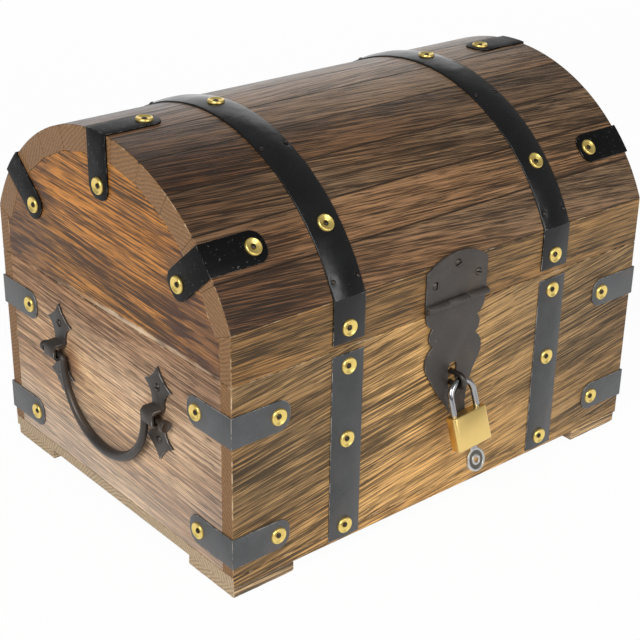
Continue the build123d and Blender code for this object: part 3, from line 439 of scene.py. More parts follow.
def make_iron(name, tone, gloss, specks, brown, metal, shine=0.5):
    """Blackened iron with soft dents, scratches and rubbed edges."""
    worn_tone = tuple(bpy.context.scene.chest_iron.worn_tone)
    shader = Shader(name, Metallic=metal, Specular_IOR_Level=shine)
    patches = shader.mottle(45, 4, 0.6)
    fine = shader.mottle(900, 3, 0.7)
    level = shader.times_plus(fine, 0.3, shader.times(patches, 0.75))
    colour = shader.ramp(level, tone, iron_shades)
    rust = shader.mottle(28, 3, 0.6, (4, 1, 3))
    colour = shader.stain(colour, rust, 0.5, 0.72, brown, (0.19, 0.115, 0.065), "MIX")
    scratches = shader.noise(shader.mapped((240, 1900, 420), rotation=(0.4, 0.5, 0.9)), 1, 1)
    scratch = shader.span(scratches, 0.75, 0.8, 0, 0.12)
    colour = shader.blend(scratch, colour, worn_tone)
    if specks:
        speck = shader.mottle(420, 2, 0.6, (2, 7, 5))
        colour = shader.stain(colour, speck, 0.66, 0.72, specks, (0.6, 0.58, 0.55), "MIX")
    broken = shader.span(shader.mottle(160, 3, 0.6), 0.42, 0.6)
    edge = shader.times(shader.attribute("edge"), broken)
    colour = shader.blend(shader.times(edge, 0.8), colour, worn_tone)
    pocket = shader.times(shader.attribute("pocket"), 0.9)
    # Faces in a slot are painted near black: painted shade.
    colour = shader.blend(pocket, colour, (0.004, 0.004, 0.004))
    rough = shader.times_plus(fine, 0.12, shader.times_plus(patches, 0.28, gloss - 0.14))
    hammered = shader.bump(shader.mottle(55, shift=(1, 5, 2)), 0.0012, 0.5)
    normal = shader.bump(shader.math("SUBTRACT", fine, scratch), 0.00006, 0.5, hammered)
    return shader.finished(colour, rough, normal)


def make_bright(name, tone, gloss, tarnish, tarnish_and_shade_tone, ring=False, grain=(300, 300, 300), metal=1.0):
    """Polished metal with a breath of tarnish and fine wear."""
    shader = Shader(name, Metallic=metal)
    fine = shader.noise(shader.mapped(grain), 4, 3, 0.7)
    tarnish_and_shade = shader.span(shader.mottle(130, 4, 0.65), 0.5, 0.78, 0, tarnish)
    # Faces in a hollow are painted with the tarnish tone as painted shade.
    tarnish_and_shade = shader.math("MAXIMUM", tarnish_and_shade, shader.times(shader.attribute("pocket"), 0.95))
    if ring:
        hollow = shader.span(shader.attribute("ring"), 0.36, 0.31, 0, 0.9)
        foot = shader.span(shader.attribute("ring"), 0.95, 1.0, 0, 0.5)
        tarnish_and_shade = shader.math("MAXIMUM", tarnish_and_shade, shader.math("MAXIMUM", hollow, foot))
    colour = shader.blend(tarnish_and_shade, shaded(tone, 1.05), tarnish_and_shade_tone)
    # Eased edges are painted lighter than the metal: a painted highlight along them.
    colour = shader.blend(shader.times(shader.attribute("edge"), 0.6), colour, shaded(tone, 1.3))
    rough = shader.times_plus(tarnish_and_shade, 0.3, shader.times_plus(fine, 0.16, gloss - 0.06))
    return shader.finished(colour, rough, shader.bump(fine, 0.00003, 0.5))


def end_board_tones(shader, colour):
    """The end boards turn greyer towards the floor, and darker towards the front, towards their top just
    under the lid, and round the handles' loops.
    """
    along, up = shader.axis(1), shader.axis(2)
    colour = shader.stain(colour, up, seam_z - 0.04, base_z, 0.35, (0.62, 0.56, 0.5), "MIX")
    colour = shader.stain(colour, along, centre_y - 0.03, front_y, 0.7, (0.62, 0.6, 0.62))
    wave = shader.mottle(60, 3)
    height = shader.times_plus(wave, 0.02, up)
    colour = shader.stain(colour, height, seam_z - 0.05, seam_z + 0.01, 0.75, (0.5, 0.4, 0.32))
    loop_y = shader.math("SUBTRACT", shader.from_middle(1, centre_y), bracket_spacing / 2 - 0.012)
    away = shader.math("ADD", shader.math("ABSOLUTE", loop_y), shader.from_middle(2, bracket_z - 0.006))
    reach = shader.times_plus(wave, 0.012, away)
    return shader.stain(colour, reach, 0.026, 0.008, 0.75, (0.45, 0.3, 0.22))


def front_painted_light(shader, colour):
    """The front and back boards darken towards their ends and their top: painted shade round a painted pool
    of light low in the middle.
    """
    above = shader.times(shader.math("SUBTRACT", shader.axis(2), base_z), 0.6)
    reach = shader.math("ADD", shader.from_middle(0, -0.02), above)
    return shader.stain(colour, reach, 0.04, 0.2, 0.9, (0.4, 0.42, 0.5))


def panel_scorch_and_highlight(shader, colour):
    """The lid's end panels darken towards their front and back, and carry a painted highlight along their
    foot, strongest towards the front.
    """
    # The pale strip along the foot, held in worn, is a painted highlight on the edge, strongest towards the
    # front.
    wear = shader.noise(shader.mapped((1, 40, 1)), 1, 4, 0.7)
    foot = shader.times_plus(wear, 0.008, shader.axis(2))
    worn = shader.span(foot, lid_z + 0.0085, lid_z + 0.0055, 0, 0.85)
    forward = shader.span(shader.axis(1), centre_y + 0.03, centre_y - 0.01, 0.2, 1.0)
    colour = shader.blend(shader.times(worn, forward), colour, (0.8, 0.62, 0.42))
    aside = shader.from_middle(1, centre_y)
    reach = shader.times_plus(shader.noise(shader.mapped((8, 12, 60)), 1, 3), 0.06, aside)
    colour = shader.stain(colour, reach, 0.085, 0.14, 0.6, (0.2, 0.09, 0.04), "MIX")
    flames = shader.span(shader.noise(shader.mapped((30, 22, 210), (3, 1, 2)), 1, 3, 0.6), 0.46, 0.6)
    near = shader.span(aside, 0.035, 0.095, 0.3, 1.0)
    return shader.blend(shader.times(flames, near), colour, (0.06, 0.022, 0.008))


def stave_smoke(shader, colour):
    """The staves darken towards the lid's left end."""
    wave = shader.noise(shader.mapped((14, 40, 40)), 1, 3)
    reach = shader.times_plus(wave, 0.08, shader.times(shader.axis(0), -1))
    return shader.stain(colour, reach, 0.11, 0.19, 0.75, (0.48, 0.39, 0.34))


class GeometryTree(NodeTree):
    """A geometry node tree with named inputs."""

    def __init__(self, name, **inputs):
        super().__init__(bpy.data.node_groups.new(name, "GeometryNodeTree"))
        wanted = {"Geometry": ("Geometry", None), **inputs, "Material": ("Material", None)}
        for label, (kind, value) in wanted.items():
            socket = self.tree.interface.new_socket(
                name=label.replace("_", " "), in_out="INPUT", socket_type=f"NodeSocket{kind}"
            )
            if value is not None:
                socket.default_value = value
        self.tree.interface.new_socket(
            name="Geometry", in_out="OUTPUT", socket_type="NodeSocketGeometry"
        )
        self.start = self.add("NodeGroupInput")

    def given(self, label):
        return self.start.outputs[label]

    def attribute(self, name, kind="FLOAT"):
        return self.add("GeometryNodeInputNamedAttribute", {"data_type": kind}, Name=name).outputs[0]

    def lot(self, seed):
        """A random share for each point or instance."""
        return self.add("FunctionNodeRandomValue", {"data_type": "FLOAT"}, Seed=seed).outputs[1]

    def store(self, geometry, name, value):
        """Stores a value on each instance."""
        settings = {"data_type": "FLOAT", "domain": "INSTANCE"}
        node = self.add(
            "GeometryNodeStoreNamedAttribute", settings, Geometry=geometry, Name=name, Value=value
        )
        return node.outputs[0]

    def turned(self, rotation, axis, angle):
        """A rotation that is turned again about one of its own axes."""
        spin = self.add("FunctionNodeAxisAngleToRotation", Axis=axis, Angle=angle).outputs[0]
        settings = {"rotation_space": "LOCAL"}
        return self.add("FunctionNodeRotateRotation", settings, Rotation=rotation, Rotate_By=spin).outputs[0]

    def close(self, geometry):
        """Ends the tree in real geometry with its finish."""
        real = self.add("GeometryNodeRealizeInstances", Geometry=geometry).outputs[0]
        finish = self.given("Material")
        finished = self.add("GeometryNodeSetMaterial", Geometry=real, Material=finish).outputs[0]
        self.tree.links.new(finished, self.add("NodeGroupOutput").inputs[0])
        return self.tree


def plant_tree():
    """Sets one head at each point, square to its outward attribute, with a little turn and lean."""
    tree = GeometryTree(
        "plant_heads",
        Head=("Object", None),
        Turn=("Float", 6.28),
        Lean=("Float", 0.03),
        Wander=("Float", 0.0),
        Seed=("Int", 0),
    )
    seed = tree.given("Seed")
    head = tree.add("GeometryNodeObjectInfo", Object=tree.given("Head")).outputs["Geometry"]
    outward = tree.attribute("outward", "FLOAT_VECTOR")
    upright = tree.add("FunctionNodeAlignRotationToVector", {"axis": "Z"}, Vector=outward).outputs[0]
    turned = tree.turned(upright, (0, 0, 1), tree.times(tree.lot(seed), tree.given("Turn")))
    bow = tree.times(tree.lot(tree.math("ADD", seed, 1)), tree.given("Lean"))
    leaned = tree.turned(turned, (1, 0, 0), bow)
    points = tree.given("Geometry")
    heads = tree.add("GeometryNodeInstanceOnPoints", Points=points, Instance=head, Rotation=leaned).outputs[0]
    stray = tree.add("FunctionNodeRandomValue", {"data_type": "FLOAT_VECTOR"}, Seed=seed)
    stray.inputs[0].default_value = (-1, -1, 0)
    stray.inputs[1].default_value = (1, 1, 0)
    shift = tree.vector("SCALE", stray.outputs[0], Scale=tree.given("Wander")).outputs[0]
    moved = tree.add(
        "GeometryNodeTranslateInstances", Instances=heads, Translation=shift, Local_Space=True
    )
    return tree.close(moved.outputs[0])


def rod_tree():
    """Sweeps a round rod along a path whose girth attribute gives its radius."""
    tree = GeometryTree("round_rod", Sides=("Int", 28))
    path = tree.add("GeometryNodeMeshToCurve", Mesh=tree.given("Geometry"))
    ring = tree.add("GeometryNodeCurvePrimitiveCircle", Resolution=tree.given("Sides"), Radius=1.0)
    rod = tree.add(
        "GeometryNodeCurveToMesh",
        Curve=path.outputs[0],
        Profile_Curve=ring.outputs[0],
        Scale=tree.attribute("girth"),
        Fill_Caps=True,
    )
    smooth = tree.add("GeometryNodeSetShadeSmooth", Geometry=rod.outputs[0])
    return tree.close(smooth.outputs[0])


def arch_tree():
    """Bends a straight strip over the arch: its y becomes a length along it, its z a height above it."""
    tree = GeometryTree(
        "bend_over_arch", Radius=("Float", arch_radius), Axis_Y=("Float", centre_y), Axis_Z=("Float", arch_z)
    )
    place = tree.add("GeometryNodeInputPosition").outputs[0]
    x, y, z = tree.add("ShaderNodeSeparateXYZ", Vector=place).outputs
    angle = tree.math("DIVIDE", y, tree.given("Radius"))
    reach = tree.math("ADD", z, tree.given("Radius"))
    across = tree.times_plus(reach, tree.math("SINE", angle), tree.given("Axis Y"))
    upward = tree.times_plus(reach, tree.math("COSINE", angle), tree.given("Axis Z"))
    bent = tree.add("ShaderNodeCombineXYZ", X=x, Y=across, Z=upward).outputs[0]
    moved = tree.add("GeometryNodeSetPosition", Geometry=tree.given("Geometry"), Position=bent)
    return tree.close(moved.outputs[0])


def stave_tree():
    """Repeats one stave round the arch, each with its own board number and slightly uneven edges."""
    tree = GeometryTree(
        "coopered_arch",
        Count=("Int", stave_count),
        Step=("Float", stave_angle),
        Axis_Y=("Float", centre_y),
        Axis_Z=("Float", arch_z),
        Wander=("Float", 0.00012),
        Seed=("Int", 3),
    )
    middle = tree.add("ShaderNodeCombineXYZ", Y=tree.given("Axis Y"), Z=tree.given("Axis Z")).outputs[0]
    points = tree.add("GeometryNodePoints", Count=tree.given("Count"), Position=middle).outputs[0]
    index = tree.add("GeometryNodeInputIndex").outputs[0]
    last = tree.math("SUBTRACT", tree.given("Count"), 1)
    place = tree.math("SUBTRACT", index, tree.math("DIVIDE", last, 2))
    angle = tree.times(place, tree.times(tree.given("Step"), -1))
    turn = tree.add("FunctionNodeAxisAngleToRotation", Axis=(1, 0, 0), Angle=angle).outputs[0]
    stave = tree.given("Geometry")
    staves = tree.add("GeometryNodeInstanceOnPoints", Points=points, Instance=stave, Rotation=turn).outputs[0]
    named = tree.store(staves, "board", tree.lot(tree.given("Seed")))
    wave = tree.math("SINE", tree.times_plus(index, 1.57, 3.14))
    toned = tree.store(named, "tone", tree.times_plus(wave, 0.28, 0.3))
    real = tree.add("GeometryNodeRealizeInstances", Geometry=toned).outputs[0]
    here = tree.add("GeometryNodeInputPosition").outputs[0]
    rough = tree.add("ShaderNodeTexNoise", Vector=here, Scale=70.0, Detail=3.0).outputs[0]
    drop = tree.times(tree.times(rough, tree.attribute("edge")), tree.given("Wander"))
    normal = tree.add("GeometryNodeInputNormal").outputs[0]
    shift = tree.vector("SCALE", normal, Scale=tree.times(drop, -1)).outputs[0]
    worn = tree.add("GeometryNodeSetPosition", Geometry=real, Offset=shift)
    return tree.close(worn.outputs[0])


def linked(name, data):
    """A new object in the scene."""
    thing = bpy.data.objects.new(name, data)
    bpy.context.scene.collection.objects.link(thing)
    return thing


def evaluated(carrier):
    """The mesh that an object's modifiers make; the object is removed."""
    bpy.context.view_layer.update()
    depsgraph = bpy.context.evaluated_depsgraph_get()
    mesh = bpy.data.meshes.new_from_object(carrier.evaluated_get(depsgraph))
    bpy.data.objects.remove(carrier)
    if not mesh.polygons:
        raise RuntimeError(f"nothing came of {mesh.name}")
    return mesh


def grown(mesh, tree, material, **values):
    """The mesh that a geometry tree makes of another, as plain geometry."""
    carrier = linked("carrier", mesh)
    modifier = carrier.modifiers.new(tree.name, "NODES")
    modifier.node_group = tree
    values["Material"] = material
    for item in tree.interface.items_tree:
        label = item.name.replace(" ", "_")
        if item.in_out == "INPUT" and label in values:
            modifier[item.identifier] = values[label]
    carrier.update_tag()
    return evaluated(carrier)


def set_piece(name, mesh, body, nodes, material=None):
    """Puts a finished mesh on the chest, on the body that it moves with, for the CAD nodes it stands for."""
    if material:
        mesh.materials.clear()
        mesh.materials.append(material)
    piece = linked(name, mesh)
    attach(piece, body)
    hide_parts(*nodes)


def dress_wood(node, body, slot, material, grain, **shape):
    """Dresses a CAD node with its own shape in wood; grain is the axis that its fibres follow."""
    mesh = eased_copy(node, bpy.context.scene.chest_wood.ease, flat=True, grain=grain, **shape)
    set_piece(node + "_wood", mesh, body, [node], material)


def dress_iron(node, body, material):
    """Dresses a CAD node with its own shape in iron."""
    mesh = eased_copy(node, bpy.context.scene.chest_iron.ease, sharp=50)
    set_piece(node + "_iron", mesh, body, [node], material)


def smoothed(mesh, angle):
    """Shades a mesh smooth up to an angle between its faces."""
    mesh.shade_smooth()
    mesh.set_sharp_from_angle(angle=math.radians(angle))
    return mesh


def cast(shape, name, outward=False):
    """The mesh of a worked shape; the shape is freed."""
    if outward:
        bmesh.ops.recalc_face_normals(shape, faces=shape.faces)
    mesh = bpy.data.meshes.new(name)
    shape.to_mesh(mesh)
    shape.free()
    return mesh


def joined(meshes, name):
    """Several meshes as one."""
    shape = bmesh.new()
    for mesh in meshes:
        shape.from_mesh(mesh)
    return cast(shape, name)


def mark_pockets(mesh, sunk):
    """Marks the faces that lie in a slot or a hollow, which their materials paint dark as painted shade."""
    pocket = mesh.attributes.new("pocket", "FLOAT", "FACE")
    for face in mesh.polygons:
        pocket.data[face.index].value = float(sunk(face))


def ease_edges(shape, edges, ease):
    """Eases edges; until mark_eased, the eased faces are known by their material index."""
    bmesh.ops.bevel(
        shape,
        geom=edges,
        offset=ease,
        offset_type="OFFSET",
        segments=2,
        profile=0.5,
        affect="EDGES",
        clamp_overlap=True,
        material=1,
    )


def mark_eased(shape):
    """Stores the edge attribute on the eased faces."""
    worn = shape.loops.layers.float.new("edge")
    for face in shape.faces:
        for loop in face.loops:
            loop[worn] = float(face.material_index)
        face.material_index = 0


def place_order(point):
    """A number that puts points in the same order in each run."""
    return point.x + 31.7 * point.y + 1009.3 * point.z


def eased_copy(node, ease, sharp=35, cuts=0, wander=0.0, flat=False, grain=None):
    """A merged copy of a CAD node whose sharp edges are eased; the eased faces carry the edge attribute,
    and with a grain axis the sawn ends carry the end attribute."""
    limit = math.radians(sharp)
    weld = 0.000002
    one_plane = math.radians(0.5)
    rough_pitch = 220
    square_to_grain = 0.6
    shape = bmesh.new()
    shape.from_mesh(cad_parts[node].data)
    bmesh.ops.remove_doubles(shape, verts=shape.verts, dist=weld)
    bmesh.ops.dissolve_limit(shape, angle_limit=one_plane, verts=shape.verts, edges=shape.edges)
    for face in shape.faces:
        face.material_index = 0
    edges = [edge for edge in shape.edges if len(edge.link_faces) == 2 and edge.calc_face_angle(0) > limit]
    ease_edges(shape, edges, ease)
    if cuts:
        long_edges = [edge for edge in shape.edges if edge.calc_length() > 8 * ease]
        bmesh.ops.subdivide_edges(shape, edges=long_edges, cuts=cuts, use_grid_fill=True)
        shape.verts.sort(key=lambda vert: place_order(vert.co))
        shape.faces.sort(key=lambda face: place_order(face.calc_center_median()))
        for vert in shape.verts:
            if any(face.material_index for face in vert.link_faces):
                vert.co = vert.co - vert.normal * (abs(noise.noise(vert.co * rough_pitch)) * wander)
    sawn = shape.loops.layers.float.new("end")
    shape.normal_update()
    for face in shape.faces:
        face.smooth = face.material_index == 1 or not flat
        for loop in face.loops:
            loop[sawn] = float(grain is not None and abs(face.normal[grain]) > square_to_grain)
    mark_eased(shape)
    mesh = cast(shape, node)
    if not flat:
        mesh.set_sharp_from_angle(angle=limit)
    return mesh


def lathe(profile, sides, name, rings=None):
    """A shape turned about Z from its (radius, height) profile, with an optional value for each ring."""
    shape = bmesh.new()
    layer = shape.verts.layers.float.new("ring")
    loops = []
    for index, (radius, height) in enumerate(profile):
        loop = []
        for side in range(sides if radius else 1):
            angle = 2 * math.pi * side / sides
            vert = shape.verts.new((radius * math.cos(angle), radius * math.sin(angle), height))
            vert[layer] = rings[index] if rings else 0.0
            loop.append(vert)
        loops.append(loop if radius else loop * sides)
    for lower, upper in zip(loops, loops[1:]):
        for side in range(sides):
            corners = list(dict.fromkeys((lower[side], lower[side - 1], upper[side - 1], upper[side])))
            if len(corners) > 2:
                shape.faces.new(corners)
    return cast(shape, name, outward=True)


def planted(head_mesh, places, material, lean, seed, wander=0.0):
    """One head on each (point, outward) place."""
    mesh = bpy.data.meshes.new("places")
    mesh.from_pydata([point for point, _ in places], [], [])
    outward = mesh.attributes.new("outward", "FLOAT_VECTOR", "POINT")
    for index, (_, direction) in enumerate(places):
        outward.data[index].vector = direction
    head = linked("head", head_mesh)
    result = grown(mesh, plant_tree(), material, Head=head, Lean=lean, Wander=wander, Seed=seed)
    bpy.data.objects.remove(head)
    return result


def rod(points, radii, material, sides=28):
    """A round rod along points, with its radius at each."""
    weld = 0.000001
    mesh = bpy.data.meshes.new("path")
    mesh.from_pydata(points, [(index, index + 1) for index in range(len(points) - 1)], [])
    girth = mesh.attributes.new("girth", "FLOAT", "POINT")
    for index, radius in enumerate(radii):
        girth.data[index].value = radius
    result = grown(mesh, rod_tree(), material, Sides=sides)
    shape = bmesh.new()
    shape.from_mesh(result)
    bmesh.ops.remove_doubles(shape, verts=shape.verts, dist=weld)
    bmesh.ops.recalc_face_normals(shape, faces=shape.faces)
    shape.to_mesh(result)
    shape.free()
    return smoothed(result, 40)


def on_arch(x, angle, radius):
    """A point on a circle about the arch's axis, and its outward direction."""
    outward = Vector((0, math.sin(angle), math.cos(angle)))
    return Vector((x, centre_y, arch_z)) + outward * radius, outward


def front_and_back(x, lift, z):
    """The same place on the front and on the back, lifted off the wood."""
    return [(Vector((x, front_y - lift, z)), frontward), (Vector((x, back_y + lift, z)), backward)]


def body_places():
    """Places of the rosettes on the body's straps and bands."""
    places = []
    for z in strap_levels:
        for side in (-1, 1):
            places += front_and_back(side * (end_x - strap_nail_inset), strap_thickness, z)
            for y in (front_y + strap_nail_inset, back_y - strap_nail_inset):
                places.append((Vector((side * (end_x + strap_thickness), y, z)), Vector((side, 0, 0))))
    for z in (lowest_nail_z, middle_nail_z, highest_nail_z):
        for x in (-band_x, band_x):
            places += front_and_back(x, body_band_crown, z)
    return places


def lid_places():
    """Places of the rosettes on the lid's straps and bands."""
    places = []
    for side in (-1, 1):
        for angle in (-lid_strap_angle, 0, lid_strap_angle):
            places.append(on_arch(side * (end_x - strap_nail_inset), angle, arch_radius + strap_thickness))
            point, _ = on_arch(side * (end_x + strap_thickness), angle, arch_radius - strap_nail_inset)
            places.append((point, Vector((side, 0, 0))))
    for x in (-band_x, band_x):
        places += front_and_back(x, flat_band, seam_z + lid_band_nail_height)
        for angle in (-lid_band_nail_angle, 0, lid_band_nail_angle):
            places.append(on_arch(x, angle, arch_radius + lid_band_crown))
    return places


def tack_places():
    """Places of the small tacks on the crowned lid bands."""
    fall = (lid_band_crown - band_edge) / (band_width / 2 - crown_flat)
    slope = math.atan(fall)
    level = arch_radius + lid_band_crown - fall * (tack_offset - crown_flat)
    places = []
    for x in (-band_x, band_x):
        for angle in tack_angles:
            for side in (-1, 1):
                point, outward = on_arch(x + side * tack_offset, angle, level)
                places.append((point, outward * math.cos(slope) + Vector((side, 0, 0)) * math.sin(slope)))
    return places


def lock_frame():
    """The lock's own frame: origin at the top of the bow, x across, y up, z out of its front."""
    rods = staple_rod + shackle_rod + lock_rest_gap
    x_dir = Vector(
        (
            math.cos(lock_tilt),
            math.sin(lock_lean) * math.sin(lock_tilt),
            math.cos(lock_lean) * math.sin(lock_tilt),
        )
    )
    z_dir = Vector((0, -math.cos(lock_lean), math.sin(lock_lean)))
    origin = (hasp_offset, front_y - staple_reach + staple_rod + rods, staple_z - staple_bend + rods)
    matrix = Matrix((x_dir, z_dir.cross(x_dir), z_dir)).transposed().to_4x4()
    return Matrix.Translation(origin) @ matrix


class CHEST_OT_body_boards(bpy.types.Operator):
    """Dresses the base, front, back and end boards with eased edges and wood"""

    bl_idname = "chest.body_boards"
    bl_label = "Body boards"

    def execute(self, context):
        wood = context.scene.chest_wood
        boards = (("front", 0.0, 0.15, None), ("back", 4.0, -0.1, None), ("base", 0.02, 0.08, wood.foot_tone))
        for name, seed, slant, rim in boards:
            # These boards get painted light: a pool of light low in the middle, and painted shade towards
            # their ends and top.
            material = make_wood(
                f"{name}_wood", wood.body_tone, 0, seed, 1.15, 0.5, (0, slant, 0), front_painted_light, rim=rim
            )
            dress_wood(f"{name}_board", "chest", "body_wood", material, 0)
        for side, seed, slant in (("left", 2.0, -0.05), ("right", 6.0, 0.05)):
            material = make_wood(
                f"{side}_end_wood", wood.end_tone, 1, seed, 0.9, 0.55, (slant, 0, 0), end_board_tones
            )
            dress_wood(f"{side}_end_board", "chest", "end_wood", material, 1)
        return {"FINISHED"}


class CHEST_OT_feet(bpy.types.Operator):
    """Dresses the four feet, with rough knocked-off edges"""

    bl_idname = "chest.feet"
    bl_label = "Feet"

    def execute(self, context):
        wood = context.scene.chest_wood
        material = make_wood("foot_wood", wood.foot_tone, 0, 12.0, 1.2, 0.6, rim=wood.foot_tone)
        for node in ("front_left_foot", "front_right_foot", "back_left_foot", "back_right_foot"):
            dress_wood(node, "chest", "body_wood", material, 0, cuts=9, wander=wood.rough_edge)
        return {"FINISHED"}


class CHEST_OT_lid_boards(bpy.types.Operator):
    """Dresses the lid's upright boards and end panels"""

    bl_idname = "chest.lid_boards"
    bl_label = "Lid boards"

    def execute(self, context):
        wood = context.scene.chest_wood
        board_tone = shaded(wood.body_tone, 0.42)
        for side, seed in (("front", 15.0), ("back", 18.0)):
            material = make_wood(f"lid_{side}_wood", board_tone, 0, seed, 1.1)
            dress_wood(f"lid_{side}_board", "lid", "lid_wood", material, 0)
        for side, seed, slant in (("left", 21.0, -0.06), ("right", 25.0, 0.06)):
            material = make_wood(
                f"{side}_panel_wood", wood.panel_tone, 1, seed, 2.1, 0.42, (slant, 0, 0), panel_scorch_and_highlight
            )
            dress_wood(f"{side}_lid_end_panel", "lid", "end_wood", material, 1)
        return {"FINISHED"}


class CHEST_OT_lid_staves(bpy.types.Operator):
    """Builds the coopered staves round the arch"""

    bl_idname = "chest.lid_staves"
    bl_label = "Lid staves"

    def execute(self, context):
        wood = context.scene.chest_wood
        material = make_wood("stave_wood", wood.stave_tone, 0, 30.0, 1.2, 0.38, extra=stave_smoke, local=True)
        staves = grown(self.one_stave(wood.ease * 0.6), stave_tree(), material)
        nodes = [f"lid_stave_{index + 1:02d}" for index in range(stave_count)]
        set_piece("lid_staves", smoothed(staves, 40), "lid", nodes, material)
        return {"FINISHED"}

    def one_stave(self, ease):
        """One stave at the crown, about the arch's axis, with eased edges."""
        seam_gap = 0.00004
        half = stave_angle / 2 - seam_gap / arch_radius
        inner = arch_radius - stave_thickness
        inside = inner + 0.004
        runs = 60
        margin = 3 * ease
        shape = bmesh.new()
        edge_layer, seam_layer, end_layer = (
            shape.verts.layers.float.new(name) for name in ("edge", "seam", "end")
        )
        place_layer = shape.verts.layers.float_vector.new("place")
        stations = [-end_x, -end_x + ease * 0.3, -end_x + ease, -end_x + margin]
        stations += [-end_x + margin + (2 * end_x - 2 * margin) * index / runs for index in range(1, runs)]
        stations += [end_x - margin, end_x - ease, end_x - ease * 0.3, end_x]
        last = len(stations) - 1
        insets = {0: ease, 1: ease * 0.3, last - 1: ease * 0.3, last: ease}
        rings = []
        for number, x in enumerate(stations):
            inset = insets.get(number, 0.0)
            ring = []
            for radius, angle, edge in self.section(half, inner, ease, inset):
                vert = shape.verts.new((x, radius * math.sin(angle), radius * math.cos(angle)))
                vert[edge_layer] = float(inset > 0 and radius > arch_radius - margin)
                vert[seam_layer] = edge
                vert[end_layer] = float(number in insets)
                ring.append(vert)
            rings.append(ring)
        for lower, upper in zip(rings, rings[1:]):
            self.wall(shape, lower, upper)
        for ring in (rings[0], rings[-1]):
            core = []
            for vert in ring:
                lift = 0.0012 if vert.co.z < inside else -0.0014
                core.append(shape.verts.new((vert.co.x, vert.co.y * 0.96, vert.co.z + lift)))
                core[-1][end_layer] = 1.0
            self.wall(shape, ring, core)
            shape.faces.new(core)
        for vert in shape.verts:
            vert[place_layer] = vert.co
        return cast(shape, "stave", outward=True)

    def wall(self, shape, lower, upper):
        """The faces between two rings."""
        for index in range(len(lower)):
            shape.faces.new((lower[index], lower[index - 1], upper[index - 1], upper[index]))

    def section(self, half, inner, ease, inset):
        """The (radius, angle, seam) points of a stave's section, drawn in by an inset."""
        outer = arch_radius - inset
        side = half - inset / arch_radius
        turn = ease / arch_radius
        flank = [
            (inner + inset, side, 0.0),
            (outer - 3 * ease, side, 0.0),
            (outer - ease, side, 1.0),
            (outer - 0.3 * ease, side - 0.3 * turn, 1.0),
            (outer, side - turn, 1.0),
            (outer, side - 3 * turn, 0.0),
        ]
        back = [(outer, (3 * turn - side) + 2 * (side - 3 * turn) * step / 8, 0.0) for step in range(1, 8)]
        return [(radius, -angle, seam) for radius, angle, seam in flank] + back + flank[::-1]


class CHEST_OT_corner_straps(bpy.types.Operator):
    """Dresses the iron straps that fold round the corners of the body and the lid"""

    bl_idname = "chest.corner_straps"
    bl_label = "Corner straps"

    def execute(self, context):
        tone = context.scene.chest_iron.band_tone
        # The straps share one iron tone. On the body it is painted lighter, a painted reflection of the
        # bright floor. On the lid it is painted darker, painted shade for the dark room above.
        body_iron_painted_reflection = make_iron("body_strap_iron", shaded(tone, 2.3), 0.34, 0.0, 0.2, 0.1)
        lid_iron_painted_shade = make_iron("lid_strap_iron", shaded(tone, 0.1), 0.4, 0.12, 0.0, 0.0, 0.12)
        for level in ("upper", "lower"):
            dress_iron(f"{level}_corner_straps", "chest", body_iron_painted_reflection)
        for side in ("left", "right"):
            dress_iron(f"{side}_lid_corner_straps", "lid", lid_iron_painted_shade)
        return {"FINISHED"}


